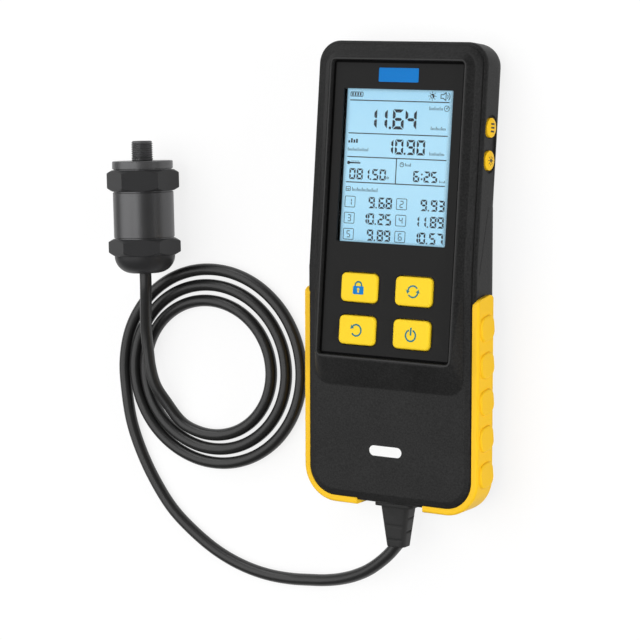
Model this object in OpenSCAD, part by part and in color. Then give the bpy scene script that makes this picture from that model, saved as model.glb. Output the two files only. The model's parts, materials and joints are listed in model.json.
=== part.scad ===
// Hand-held digital cylinder pressure gauge with a corded screw-in sensor.
// The gauge lies on its back: +Z up, +Y toward the top of the display, +X toward the side buttons.
// The case is bent across its width: the display head and the handle are each flat in a frame of
// their own, and both frames meet on the bend line across the front.

/* [Case] */
// Width of the rear cover
case_w = 83; // [78:0.5:92]
// Length of the display head, from the bend line to the top end
head_len = 98.5; // [96:0.5:110]
// Length of the handle, from the bend line to the bottom end
handle_len = 103; // [98:0.5:116]
// Depth of the display head behind the face panel
head_depth = 20; // [19:0.5:25]
// Depth of the handle behind its rim
handle_depth = 23; // [22:0.5:28]
// Angle between the display head and the handle
bend = 6; // [4:0.5:8]
// Wall of the rear cover
wall = 2.2; // [1.8:0.1:2.6]
// Corner radius of the case at the top end
top_corner_r = 10; // [9.5:0.5:13]
// Corner radius of the case at the bottom end
bottom_corner_r = 14; // [11:0.5:17]
// Radius of the rear cover's back edge
back_edge_r = 8; // [5:0.5:9]
// Radius of the rear cover's shoulder beside the seam
shoulder_r = 1.6; // [1:0.1:2.2]
// Height of the front cover's rim above the seam
rim_h = 1.5; // [1.2:0.1:2]
// Width of the bevel along the rim's outer edge
rim_bevel = 2.6; // [1.6:0.1:2.8]
// Height of the bevel along the rim's outer edge
rim_bevel_h = 0.8; // [0.3:0.1:0.8]
// Open seam between the front cover and the rear cover
seam_gap = 0.3; // [0.2:0.05:0.4]
// Thickness of the front cover's floor behind the face panel
floor_t = 1.8; // [1.4:0.1:2.2]

/* [Face] */
// Width of the face panel
panel_w = 64.2; // [62:0.2:66]
// Length of the face panel
panel_l = 127.5; // [122:0.5:129]
// Thickness of the face panel
panel_t = 0.8; // [0.6:0.1:1.2]
// Corner radius of the face panel
panel_r = 1.2; // [0.6:0.1:3]
// Gap around the face panel
panel_gap = 0.3; // [0.2:0.05:0.5]
// Distance from the top of the case to the face panel
brow = 8.9; // [8.5:0.1:11]
// Height of the ridge around the face panel
ridge_h = 2; // [1.4:0.1:2.6]
// Width of the ridge's flat top
ridge_w = 1.4; // [0.9:0.1:1.6]
// Run of the slope outside the ridge
slope_run = 3; // [2.2:0.1:3.4]
// Run of the long slope below the ridge, down to the handle
apron_run = 12.5; // [9:0.5:16]
// Width of the display opening
window_w = 53.8; // [48:0.2:54.4]
// Length of the display opening
window_l = 66.3; // [60:0.5:67]
// Distance from the top of the face panel to the display opening
window_drop = 11.9; // [10:0.1:13]
// Thickness of the clear window
window_t = 1.2; // [0.8:0.1:1.6]

/* [Keys] */
// Width of a key
key_w = 18.2; // [15:0.2:20]
// Length of a key
key_l = 12.8; // [11:0.2:14]
// Corner radius of a key
key_r = 2.4; // [1.8:0.1:4]
// Height of a key above the face panel
key_rise = 1.6; // [1.2:0.1:2.4]
// Distance between the two columns of keys
key_dx = 27; // [24:0.5:29]
// Distance between the two rows of keys
key_dy = 18.5; // [17.5:0.5:20]
// Distance from the bottom of the face panel to the lower row
key_foot = 11.1; // [10:0.1:12]
// Gap around a key in its opening
key_gap = 0.3; // [0.25:0.05:0.5]
// Travel of a key
key_travel = 0.9; // [0.5:0.1:1]

/* [Side buttons] */
// Diameter of a side button
side_d = 8.3; // [7:0.1:9]
// Distance between the two side buttons
side_pitch = 13.9; // [13:0.1:17]
// Distance from the top of the case to the middle of the pair
side_drop = 42.5; // [38:0.5:50]
// Depth of the side buttons behind the face panel
side_z = 8.3; // [7.8:0.1:9]
// Depth of the hollow around the side buttons
side_hollow = 0.8; // [0.4:0.1:1]
// Height of a side button above the side of the case
side_rise = 0.8; // [0.4:0.1:1.4]
// Gap around a side button in its bore
side_gap = 0.3; // [0.25:0.05:0.5]
// Travel of a side button
side_travel = 0.6; // [0.3:0.1:0.8]

/* [Grips] */
// Thickness of a grip
grip_t = 1.8; // [1.2:0.1:2.6]
// Distance from the bend line to the top of a grip
grip_top = 9.5; // [6:0.5:13]
// Distance from the front of the rim to the front edge of a grip
grip_front = 1; // [0.8:0.1:1.2]
// Breadth of a grip from front to back
grip_depth = 14.6; // [12:0.2:15]
// Gap between a grip and the rim
grip_gap = 0.4; // [0.3:0.05:0.6]
// Radius of a grip's long edges
grip_edge_r = 1.1; // [0.5:0.1:1.4]
// Half of the open stretch between the grips at the bottom end
grip_open = 16.5; // [13:0.5:19]
// Number of finger pads on a grip
pad_n = 5; // [3:1:5]
// Distance between finger pads
pad_pitch = 15.9; // [14:0.1:16.2]
// Length of a finger pad
pad_l = 11; // [9:0.2:12]
// Height of a finger pad
pad_h = 1; // [0.5:0.1:1.2]
// Slant of the finger pads and of a grip's top end
grip_slant = 8; // [0:1:10]

/* [Battery] */
// Diameter of a cell
cell_d = 10.5; // [9.5:0.1:10.5]
// Length of a cell with its contact
cell_l = 44.5; // [40:0.5:45]
// Length of a contact spring
spring_l = 5; // [4:0.5:6]
// Distance from the bend line to the middle of the cells
cell_drop = 57; // [54:0.5:62]
// Thickness of the battery door
door_t = 2; // [1.6:0.1:2.4]
// Gap around the battery door
door_gap = 0.3; // [0.2:0.05:0.5]

/* [Screws] */
// Diameter of the case screws
screw_d = 3; // [2.5:0.1:3.2]
// Diameter of the case screws' heads
screw_head_d = 5.6; // [5:0.1:6]

/* [Cord] */
// Diameter of the cord
cord_d = 5.5; // [5:0.1:5.8]
// Width of the strain relief at its root
relief_w = 14; // [12.5:0.1:15]
// Thickness of the strain relief at its root
relief_t = 10; // [9:0.1:10.4]
// Length of the strain relief outside its flange
relief_l = 18.2; // [16:0.2:20]

/* [Sensor] */
// Size of both hexagons across their flats
hex_af = 29; // [28.5:0.5:31]
// Diameter of the sleeve and the collar
sleeve_d = 28; // [26.5:0.1:28.2]
// Length of the sleeve that shows between the hexagons
sleeve_l = 22; // [18:0.5:28]
// Wall of the sleeve
sleeve_wall = 2.5; // [2:0.1:3.5]
// Length of the upper hexagon
head_hex_l = 9.7; // [8:0.1:12]
// Length of the lower hexagon
cap_hex_l = 7.7; // [6:0.1:10]
// Length of the rounded cord end
dome_l = 8.3; // [7.5:0.1:11]
// Length of the collar below the stud
collar_l = 4.1; // [3:0.1:6]
// Diameter of the threaded stud
stud_d = 10; // [8:0.5:14]
// Length of the threaded stud
stud_l = 9.2; // [8:0.1:16]
// Diameter of the pressure port through the stud
port_d = 3; // [1.5:0.1:4]

/* [Hidden] */
$fn = 64;
eps = 0.02;
// The handle stands proud of the head by this much where they meet
step = 0.06;

// Pose: the gauge rests on the two ends of its back, and the tilts follow from that
head_end = head_len - back_edge_r;
handle_end = handle_len - back_edge_r;
head_mid = head_depth - back_edge_r;
handle_mid = handle_depth + step - back_edge_r;
tilt_rise = handle_end * sin(bend) + handle_mid * cos(bend) - head_mid;
tilt_span = head_end + handle_end * cos(bend) - handle_mid * sin(bend);
head_tilt = atan2(tilt_rise, tilt_span);
handle_tilt = bend - head_tilt;
bend_z = head_end * sin(head_tilt) + head_mid * cos(head_tilt) + back_edge_r;

// Levels behind the face panel
floor_z = panel_t + floor_t;
cell_t = 1.8;
light_t = 3.6;
board_t = 1.6;
board_z = floor_z + cell_t + light_t;

// Plan of the face
front_w = case_w - 2 * shoulder_r;
inner_w = case_w - 2 * wall;
fit_gap = 0.3;
panel_top = head_len - brow;
panel_bottom = panel_top - panel_l;
panel_y = (panel_top + panel_bottom) / 2;
recess_w = panel_w + 2 * panel_gap;
recess_l = panel_l + 2 * panel_gap;
recess_r = panel_r + panel_gap;
ridge_out_w = recess_w + 2 * ridge_w;
ridge_out_l = recess_l + 2 * ridge_w;
ridge_r = recess_r + ridge_w + 1;
ridge_edge = 0.3 * ridge_w;
foot_w = min(ridge_out_w + 2 * slope_run, front_w - 2 * rim_bevel - 0.4);
foot_top = min(panel_y + ridge_out_l / 2 + slope_run, head_len - shoulder_r - rim_bevel - 0.3);
foot_bottom = panel_y - ridge_out_l / 2 - apron_run;
foot_r = ridge_r + 3;
window_top = panel_top - window_drop;
window_y = window_top - window_l / 2;
window_lap = 1.5;
lcd_lap = 3.6;
key_row = panel_bottom + key_foot;
key_base = floor_z + fit_gap;
key_flange = 0.8;
key_skirt = 1.2;

// Side buttons
side_y = head_len - side_drop;
side_flange = 0.8;
side_skirt = 1;
side_wall_x = case_w / 2 - wall;
side_tip_x = side_wall_x - fit_gap - side_flange - side_travel - fit_gap;
board_w = 2 * (side_tip_x - 1.8);
board_top = head_len - 15;
board_bottom = panel_bottom + 2;

// Battery bay in the handle
bay_wall = 1.6;
cell_gap = 0.6;
plate_t = 0.5;
cell_pitch = cell_d + cell_gap;
bay_w = 3 * cell_d + 2 * cell_gap + 1;
bay_l = cell_l + spring_l + 2 * plate_t + 0.4;
door_w = bay_w + 8;
door_l = bay_l + 14;
door_seat = handle_depth - door_t;
ledge_t = 1.8;
cell_z = door_seat - fit_gap - cell_d / 2;
bay_top = cell_z - cell_d / 2 - 1;
door_screw_y = -cell_drop - bay_l / 2 - 3.8;

// Screws
boss_d = screw_d + 4;
boss_l = 5;
boss_base = 1.6;
screw_seat = 6;
screw_l = 10;
head_screw = [case_w / 2 - 9, head_len - 9];
handle_screw = [case_w / 2 - 10, -handle_len + 12];

// Strain relief, and the bend line's place midway between it and the top end
relief_z = 9.5;
relief_flange = 1.8;
relief_end = handle_len + relief_flange + relief_l;
cord_shift = -0.75;
bend_y = (relief_end * cos(handle_tilt) - head_len * cos(head_tilt)) / 2;

// Sensor: its own axis runs from the cord end toward the stud, and it lies on a corner of each hexagon
hex_ac = hex_af / cos(30);
sensor_at = [-134.9, 2.3, hex_ac / 2];
sensor_turn = 2.5;
cap_top = dome_l + cap_hex_l;
sleeve_top = cap_top + sleeve_l;
collar_base = sleeve_top + head_hex_l;
collar_top = collar_base + collar_l;
bore_d = sleeve_d - 2 * sleeve_wall;
spigot = 4;
cell_disc_d = bore_d - 2;
neck_l = 1;

// Cord route: it leaves the cord end of the sensor, passes over three turns of its own and comes
// down inside them, makes those turns and comes round to the strain relief. Points along the
// route's loose ends are chosen by eye, and the turns are worked out.
cord_r = cord_d / 2;
cord_sides = 10;
turns = 3;
turn_steps = 18;
turn_start = 240;
function along_sensor(s) = sensor_at + s * [-sin(sensor_turn), cos(sensor_turn), 0];
function in_handle(y, z) = [
    cord_shift,
    bend_y + y * cos(handle_tilt) - z * sin(handle_tilt),
    bend_z + y * sin(handle_tilt) + z * cos(handle_tilt)
];
function turn_point(angle) = let (n = (angle - 180) / 360) [
    -108 + n + (30 + 7.1 * n) * cos(angle),
    -43.25 + 0.4 * n + (27.75 + 6.9 * n) * sin(angle),
    cord_r
];
lead = [
    along_sensor(0),
    along_sensor(-5),
    [-135.8, -10, 15],
    [-137.3, -18, 12.8],
    [-138.4, -26, 10.8],
    [-138.3, -34.5, 9.4],
    [-137.4, -43, 8.7],
    [-135.2, -51.5, 7.4],
    [-130.5, -59.5, 5]
];
coil = [for (i = [0 : turns * turn_steps - 3]) turn_point(turn_start + i * 360 / turn_steps)];
tail = [
    [-155, -57, cord_r],
    [-152, -71, cord_r],
    [-146, -85, cord_r],
    [-138, -98, cord_r],
    [-128, -110, cord_r],
    [-115, -120, cord_r],
    [-101, -127.8, cord_r],
    [-87, -132.6, cord_r],
    [-74, -134.8, cord_r],
    [-62, -135, 3.2],
    [-51, -133.9, 4.6],
    [-41, -132.5, 6.1],
    [-32, -130.4, 7.6],
    [-23.5, -127.4, 9.1],
    [-16, -123.6, 10.4],
    [-9.8, -119.2, 11.4],
    [-4.6, -114.6, 12.2]
];
route = concat(lead, coil, tail, [in_handle(-relief_end, -relief_z)]);
relief_face = [0, cos(handle_tilt), sin(handle_tilt)];

// Frames of the display head, the handle and the sensor
module head() {
    translate([0, bend_y, bend_z]) rotate([-head_tilt, 0, 0]) children();
}

module handle() {
    translate([0, bend_y, bend_z]) rotate([handle_tilt, 0, 0]) children();
}

module sensor() {
    translate(sensor_at) rotate([0, 0, sensor_turn]) children();
}

// Rounded rectangle
module rounded(w, l, r) {
    square([w - 2 * r, l], center = true);
    square([w, l - 2 * r], center = true);
    for (x = [-1, 1], y = [-1, 1]) {
        translate([x * (w / 2 - r), y * (l / 2 - r)]) circle(r);
    }
}

// Section of a block with its top and bottom edges rounded
module soft_section(w, z0, z1, top_r, bottom_r) {
    translate([-w / 2, z0 + bottom_r]) square([w, z1 - top_r - z0 - bottom_r]);
    translate([-w / 2 + bottom_r, z0]) square([w - 2 * bottom_r, z1 - top_r - z0]);
    translate([-w / 2 + top_r, z0 + bottom_r]) square([w - 2 * top_r, z1 - z0 - bottom_r]);
    intersection() {
        translate([-w / 2, z0]) square([w, z1 - z0]);
        for (x = [-1, 1]) {
            if (bottom_r > 0) translate([x * (w / 2 - bottom_r), z0 + bottom_r]) circle(bottom_r);
            if (top_r > 0) translate([x * (w / 2 - top_r), z1 - top_r]) circle(top_r);
        }
    }
}

// Block from y0 to y1 with round corners in plan and rounded top and bottom edges
module soft_block(w, y0, y1, r, z0, z1, top_r, bottom_r) {
    for (x = [-1, 1], y = [y0 + r, y1 - r]) {
        translate([x * (w / 2 - r), y, 0]) rotate_extrude() intersection() {
            soft_section(2 * r, z0, z1, top_r, bottom_r);
            translate([0, z0]) square([r, z1 - z0]);
        }
    }
    translate([0, y1 - r, 0]) rotate([90, 0, 0]) linear_extrude(y1 - y0 - 2 * r)
        soft_section(w, z0, z1, top_r, bottom_r);
    translate([r - w / 2, (y0 + y1) / 2, 0]) rotate([90, 0, 90]) linear_extrude(w - 2 * r)
        soft_section(y1 - y0, z0, z1, top_r, bottom_r);
}

// Section of the front cover's rim, with a wide bevel outside
module rim_section(w, z0, z1) {
    polygon([
        [-w / 2, z0],
        [w / 2, z0],
        [w / 2, z1 - rim_bevel_h],
        [w / 2 - rim_bevel, z1],
        [rim_bevel - w / 2, z1],
        [-w / 2, z1 - rim_bevel_h]
    ]);
}

// Plate from y0 to y1 with round corners in plan and the rim's bevel round its top
module rim_plate(w, y0, y1, r, z0, z1) {
    for (x = [-1, 1], y = [y0 + r, y1 - r]) {
        translate([x * (w / 2 - r), y, 0]) rotate_extrude() intersection() {
            rim_section(2 * r, z0, z1);
            translate([0, z0]) square([r, z1 - z0]);
        }
    }
    translate([0, y1 - r, 0]) rotate([90, 0, 0]) linear_extrude(y1 - y0 - 2 * r)
        rim_section(w, z0, z1);
    translate([r - w / 2, (y0 + y1) / 2, 0]) rotate([90, 0, 90]) linear_extrude(w - 2 * r)
        rim_section(y1 - y0, z0, z1);
}

// Space on the display head's side of the mitre that joins it to the handle
module head_side() {
    half = tan(bend / 2);
    back_y = (handle_depth / cos(bend) - head_depth) / tan(bend);
    head() rotate([90, 0, 90]) linear_extrude(200, center = true) polygon([
        [300, 60],
        [-60 * half, 60],
        [0, 0],
        [5 * half, -5],
        [back_y - (head_depth - 10) * half, -10],
        [back_y, -head_depth],
        [back_y + 60 * half, -head_depth - 60],
        [300, -head_depth - 60]
    ]);
}

// First child in the head's frame and second in the handle's, mitred at the bend
module bent() {
    intersection() {
        head() children(0);
        head_side();
    }
    difference() {
        handle() children(1);
        head_side();
    }
}

module handle_block() {
    soft_block(case_w + 2 * step, -handle_len, 80, bottom_corner_r, -handle_depth - step, step - rim_h,
        shoulder_r, back_edge_r);
}

module rear_outside() {
    bent() {
        soft_block(case_w, -60, head_len, top_corner_r, -head_depth, -rim_h, shoulder_r, back_edge_r);
        handle_block();
    }
}

module rear_inside() {
    bent() {
        soft_block(inner_w, -60, head_len - wall, top_corner_r - wall, wall - head_depth, 8, 0,
            back_edge_r - wall);
        soft_block(inner_w + 2 * step, wall - handle_len, 80, bottom_corner_r - wall,
            wall - handle_depth - step, 9, 0, back_edge_r - wall);
    }
}

module at_head_screws() {
    head() for (x = [-1, 1]) translate([x * head_screw[0], head_screw[1], -head_depth]) children();
}

module at_handle_screws() {
    handle() for (x = [-1, 1]) translate([x * handle_screw[0], handle_screw[1], -handle_depth]) children();
}

// Slot with round ends that runs along the case, cut into its side
module side_slot(length, width, depth) {
    rotate([0, 90, 0]) linear_extrude(depth) {
        square([width, length - width], center = true);
        for (y = [-1, 1]) translate([0, y * (length - width) / 2]) circle(width / 2);
    }
}

module at_side_buttons() {
    for (y = [-1, 1]) head() translate([0, side_y + y * side_pitch / 2, -side_z]) children();
}

module rear_cover() {
    relief_bore = [relief_w - 3.5, relief_t - 2.5];
    color("#262728") difference() {
        union() {
            difference() {
                rear_outside();
                rear_inside();
            }
            at_head_screws() translate([0, 0, boss_base])
                cylinder(d = boss_d + 2, h = head_depth - floor_z - boss_l - fit_gap - boss_base);
            at_handle_screws() translate([0, 0, boss_base])
                cylinder(d = boss_d + 2, h = handle_depth - floor_z - boss_l - fit_gap - boss_base);
            handle() translate([0, -cell_drop, -handle_depth]) {
                linear_extrude(door_t + ledge_t) square([door_w + 3, door_l + 3], center = true);
                linear_extrude(handle_depth - bay_top)
                    square([bay_w + 2 * bay_wall, bay_l + 2 * bay_wall], center = true);
            }
            handle() translate([0, door_screw_y, -handle_depth]) cylinder(d = boss_d, h = door_t + 6);
        }
        at_head_screws() translate([0, 0, -1]) {
            cylinder(d = screw_head_d + 0.8, h = screw_seat + 1);
            cylinder(d = screw_d + 0.4, h = head_depth);
        }
        at_handle_screws() translate([0, 0, -1]) {
            cylinder(d = screw_head_d + 0.8, h = screw_seat + 1);
            cylinder(d = screw_d + 0.4, h = handle_depth);
        }
        handle() translate([0, -cell_drop, -handle_depth - 1]) {
            linear_extrude(door_t + 1)
                square([door_w + 2 * door_gap, door_l + 2 * door_gap], center = true);
            linear_extrude(handle_depth) square([bay_w, bay_l], center = true);
        }
        handle() translate([0, door_screw_y, -door_seat - 1]) cylinder(d = 2.7, h = 6.2);
        head() translate([case_w / 2 - side_hollow, side_y, -side_z])
            side_slot(side_pitch + side_d + 2.6, side_d + 2, 5);
        at_side_buttons() translate([side_wall_x - 2, 0, 0]) rotate([0, 90, 0])
            cylinder(d = side_d + 2 * side_gap, h = wall + 4);
        handle() translate([0, wall + 1 - handle_len, -relief_z]) rotate([90, 0, 0])
            linear_extrude(wall + 2) rounded(relief_bore[0], relief_bore[1], 2);
    }
}

// Plan of the four key openings and the display opening, cut through the face
module key_openings(h) {
    for (x = [-1, 1], y = [0, 1]) {
        translate([x * key_dx / 2, key_row + y * key_dy, 0]) linear_extrude(h)
            rounded(key_w + 2 * key_gap, key_l + 2 * key_gap, key_r + key_gap);
    }
}

// Raised frame around the face panel with its long slope down to the handle
module raised_frame() {
    foot = 0.3;
    hull($fn = 32) {
        head() translate([0, panel_y, ridge_h - eps]) linear_extrude(eps)
            rounded(ridge_out_w, ridge_out_l, ridge_r);
        head() for (x = [-1, 1]) {
            translate([x * (foot_w / 2 - foot_r), foot_top - foot_r, -foot]) cylinder(r = foot_r, h = foot);
            translate([x * (foot_w / 2 - 0.5), 0, -foot / 2]) cube([1, eps, foot], center = true);
        }
        handle() for (x = [-1, 1]) {
            translate([x * (foot_w / 2 - foot_r), foot_bottom + foot_r, -foot])
                cylinder(r = foot_r, h = foot);
        }
    }
}

module front_cover() {
    tongue_w = inner_w - 2 * fit_gap;
    tongue_in = wall + fit_gap;
    color("#2b2c2d") difference() {
        union() {
            difference() {
                union() {
                    bent() {
                        rim_plate(front_w, -60, head_len - shoulder_r, top_corner_r - shoulder_r,
                            seam_gap - rim_h, 0);
                        rim_plate(front_w + 2 * step, shoulder_r - handle_len, 80,
                            bottom_corner_r - shoulder_r, seam_gap - rim_h + step, step);
                    }
                    bent() {
                        soft_block(tongue_w, -60, head_len - tongue_in, top_corner_r - tongue_in,
                            -floor_z, -0.5, 0, 0);
                        soft_block(tongue_w + 2 * step, tongue_in - handle_len, 80,
                            bottom_corner_r - tongue_in, -floor_z - step, -0.5, 0, 0);
                    }
                    raised_frame();
                }
                bent() {
                    translate([-100, -100, -40 - floor_z]) cube([200, 300, 40]);
                    translate([-100, -200, -40 - floor_z - step]) cube([200, 300, 40]);
                }
                head() translate([-panel_w / 2, panel_bottom, -40 - floor_z])
                    cube([panel_w, panel_l - 10, 40]);
            }
            at_head_screws() translate([0, 0, head_depth - floor_z - boss_l])
                cylinder(d = boss_d, h = boss_l + 0.5);
            at_handle_screws() translate([0, 0, handle_depth - floor_z - boss_l])
                cylinder(d = boss_d, h = boss_l + 0.5);
        }
        head() translate([0, panel_y, -panel_t]) linear_extrude(ridge_h + panel_t + 1)
            rounded(recess_w, recess_l, recess_r);
        head() translate([0, panel_y, ridge_h - ridge_edge]) hull($fn = 32) {
            linear_extrude(eps) rounded(recess_w, recess_l, recess_r);
            translate([0, 0, ridge_edge + eps]) linear_extrude(1)
                rounded(recess_w + 2 * ridge_edge, recess_l + 2 * ridge_edge, recess_r + ridge_edge);
        }
        head() translate([0, window_y, -floor_z - 1]) linear_extrude(floor_z + 2)
            rounded(window_w + 2 * window_lap, window_l + 2 * window_lap, 1);
        head() translate([0, 0, -floor_z - 1]) key_openings(floor_z + 2);
        at_head_screws() translate([0, 0, head_depth - floor_z - boss_l - 1])
            cylinder(d = screw_d + 0.2, h = boss_l);
        at_handle_screws() translate([0, 0, handle_depth - floor_z - boss_l - 1])
            cylinder(d = screw_d + 0.2, h = boss_l);
    }
}

module face_panel() {
    color("#343536") head() difference() {
        translate([0, panel_y, -panel_t]) linear_extrude(panel_t) rounded(panel_w, panel_l, panel_r);
        translate([0, window_y, -panel_t - 1]) linear_extrude(panel_t + 2) rounded(window_w, window_l, 0.6);
        translate([0, 0, -panel_t - 1]) key_openings(panel_t + 2);
    }
}

module display_window() {
    lap = 2 * window_lap - 0.4;
    color("#cfe6ee") head() translate([0, window_y, -panel_t - window_t]) linear_extrude(window_t)
        rounded(window_w + lap, window_l + lap, 0.8);
}

module lcd_cell() {
    color("#afdef3") head() translate([0, window_y, -floor_z - cell_t]) linear_extrude(cell_t)
        square([window_w + 2 * lcd_lap, window_l + 2 * lcd_lap], center = true);
}

module backlight() {
    color("#f2f4f4") head() translate([0, window_y, -board_z]) linear_extrude(light_t)
        square([window_w + 2 * lcd_lap, window_l + 2 * lcd_lap], center = true);
}

module main_board() {
    color("#1d5a38") head() translate([0, (board_top + board_bottom) / 2, -board_z - board_t])
        linear_extrude(board_t) rounded(board_w, board_top - board_bottom, 2);
}

module controller_chip() {
    chip = [14, 14, 1.4];
    color("#1b1b1c") head() translate([12, window_y - 12, -board_z - board_t - chip[2] / 2])
        cube(chip, center = true);
}

module board_header() {
    header = [10, 5, 5];
    color("#e8e6dc") head() difference() {
        translate([0, board_bottom + 14, -board_z - board_t - header[2] / 2]) cube(header, center = true);
        translate([0, board_bottom + 14, -board_z - board_t - header[2]])
            cube([header[0] - 1.6, header[1] - 1.6, 7], center = true);
    }
}

module buzzer() {
    color("#1b1b1c") head() translate([-18, window_y + 16, -board_z - board_t - 5]) difference() {
        cylinder(d = 12, h = 5);
        translate([0, 0, -1]) cylinder(d = 2, h = 2.4);
    }
}

module key_switches() {
    tip = key_base + key_flange + key_travel + fit_gap;
    plunger = 0.4;
    color("#3a3a3c") head() for (x = [-1, 1], y = [0, 1]) {
        translate([x * key_dx / 2, key_row + y * key_dy, -board_z]) {
            linear_extrude(board_z - tip - plunger) square(6.2, center = true);
            cylinder(d = 3.4, h = board_z - tip);
        }
    }
}

module side_switches() {
    body = [3.4, 6.4, 4.2];
    color("#3a3a3c") at_side_buttons() {
        translate([side_tip_x - 0.7 - body[0], -body[1] / 2, side_z - board_z]) cube(body);
        translate([side_tip_x - 1, 0, side_z - board_z + body[2] / 2]) rotate([0, 90, 0])
            cylinder(d = 2.2, h = 1);
    }
}

// One key: a soft-edged cap on a flange that the face holds in from behind
module key(x, row) {
    color("#ffda37") head() translate([x * key_dx / 2, key_row + row * key_dy, 0]) {
        soft_block(key_w, -key_l / 2, key_l / 2, key_r, -key_base - eps, key_rise, 0.7, 0);
        translate([0, 0, -key_base - key_flange]) linear_extrude(key_flange)
            rounded(key_w + 2 * key_skirt, key_l + 2 * key_skirt, key_r + key_skirt);
    }
}

module key_lock() {
    key(-1, 1);
}

module key_cycle() {
    key(1, 1);
}

module key_back() {
    key(-1, 0);
}

module key_power() {
    key(1, 0);
}

// One side button: a domed cap on a flange behind the case wall
module side_button(y) {
    dome_r = 14;
    base = side_wall_x - fit_gap;
    top = case_w / 2 + side_rise;
    color("#ffc828") head() translate([0, side_y + y * side_pitch / 2, -side_z]) rotate([0, 90, 0]) {
        intersection() {
            translate([0, 0, base - eps]) cylinder(d = side_d, h = top - base + eps);
            translate([0, 0, top - dome_r]) sphere(dome_r);
        }
        translate([0, 0, base - side_flange]) cylinder(d = side_d + 2 * side_skirt, h = side_flange);
    }
}

module side_button_upper() {
    side_button(1);
}

module side_button_lower() {
    side_button(-1);
}

// Side view of a grip's band, with round corners at its slanted top end
module band_side(length, breadth, r) {
    corner_y = breadth / 2 - r;
    way = [cos(grip_slant), sin(grip_slant)];
    front = [length / 2 - (r + way[1] * corner_y) / way[0], corner_y];
    back = [length / 2 - (r - way[1] * corner_y) / way[0], -corner_y];
    polygon([
        [-length / 2, -breadth / 2],
        [back[0], -breadth / 2],
        back + r * way,
        front + r * way,
        [front[0], breadth / 2],
        [-length / 2, breadth / 2]
    ]);
    translate(front) circle(r);
    translate(back) circle(r);
}

// One grip: a band round the side and the bottom corner of the handle, drawn over the shoulder up to
// the rim, with finger pads
module grip(side) {
    band_z = -grip_front - grip_depth / 2;
    band_l = handle_len + grip_t - grip_top + 20;
    end_r = 4;
    pad_z = grip_depth - 2.8;
    clear_r = bottom_corner_r - shoulder_r + grip_gap;
    pad_base = 0.6;
    color("#fec828") handle() mirror([side < 0 ? 1 : 0, 0, 0]) {
        difference() {
            intersection() {
                soft_block(case_w + 2 * grip_t, -handle_len - grip_t, 80, bottom_corner_r + grip_t,
                    -grip_front - grip_depth, -grip_front, grip_edge_r, grip_edge_r);
                translate([grip_open, -grip_top - band_l / 2, band_z]) rotate([90, 0, 90])
                    linear_extrude(case_w) band_side(band_l, grip_depth, end_r);
            }
            handle_block();
            soft_block(front_w + 2 * step + 2 * grip_gap, shoulder_r - handle_len - grip_gap, 80, clear_r,
                -rim_h - 0.5, 5, 0, 0);
        }
        for (i = [0 : pad_n - 1]) {
            translate([case_w / 2 + grip_t - pad_base, -grip_top - 13.6 - i * pad_pitch, band_z - 0.4])
                rotate([grip_slant, 0, 0]) rotate([0, 90, 0])
                    soft_block(pad_z, -pad_l / 2, pad_l / 2, 4, 0, pad_base + pad_h, 0.9 * pad_h, 0);
        }
    }
}

module left_grip() {
    grip(-1);
}

module right_grip() {
    grip(1);
}

module battery_door() {
    color("#262728") handle() difference() {
        translate([0, -cell_drop, -handle_depth]) linear_extrude(door_t)
            square([door_w, door_l], center = true);
        translate([0, door_screw_y, -handle_depth - 1]) {
            cylinder(d = 4.6, h = 2);
            cylinder(d = 2.7, h = door_t + 2);
        }
    }
}

module door_screw() {
    color("#8d9094") handle() translate([0, door_screw_y, -handle_depth]) difference() {
        union() {
            cylinder(d = 4.2, h = 1);
            cylinder(d = 2.4, h = door_t + 4);
        }
        translate([0, 0, -1]) cylinder(d = 2, h = 1.6, $fn = 6);
    }
}

// One cell with its contact toward the top end, or turned round
module battery(i) {
    turned = i == 1 ? 180 : 0;
    nub = 1.2;
    shift = (i == 1 ? -1 : 1) * spring_l / 2;
    color("#5a6a74") handle() translate([(i - 1) * cell_pitch, -cell_drop + shift, -cell_z])
        rotate([0, 0, turned]) translate([0, -cell_l / 2, 0]) rotate([-90, 0, 0]) {
            cylinder(d = cell_d, h = cell_l - nub);
            cylinder(d = 3.8, h = cell_l);
        }
}

module battery_1() {
    battery(0);
}

module battery_2() {
    battery(1);
}

module battery_3() {
    battery(2);
}

// Closed tube through a list of points, with its rings upright across the route. A cut gives the
// direction square to the tube's last end, where that end is slanted.
function unit(v) = v / norm(v);
function heading(p, i) = unit(p[min(i + 1, len(p) - 1)] - p[max(i - 1, 0)]);
function ring(p, i, r, sides, up, cut) = let (
    t = heading(p, i),
    u = unit(cross(up, t)),
    v = cross(t, u),
    n = is_undef(cut) || i < len(p) - 1 ? t : cut
) [
    for (k = [0 : sides - 1]) let (w = cos(k * 360 / sides) * u + sin(k * 360 / sides) * v)
        p[i] + r * (w - t * (w * n) / (t * n))
];

module tube(p, r, sides, up, cut) {
    n = len(p);
    points = [for (i = [0 : n - 1]) each ring(p, i, r, sides, up, cut)];
    faces = [
        [for (k = [0 : sides - 1]) k],
        for (i = [0 : n - 2], k = [0 : sides - 1]) let (a = i * sides + k, b = i * sides + (k + 1) % sides)
            [a, a + sides, b + sides, b],
        [for (k = [sides - 1 : -1 : 0]) (n - 1) * sides + k]
    ];
    polyhedron(points, faces);
}

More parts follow.
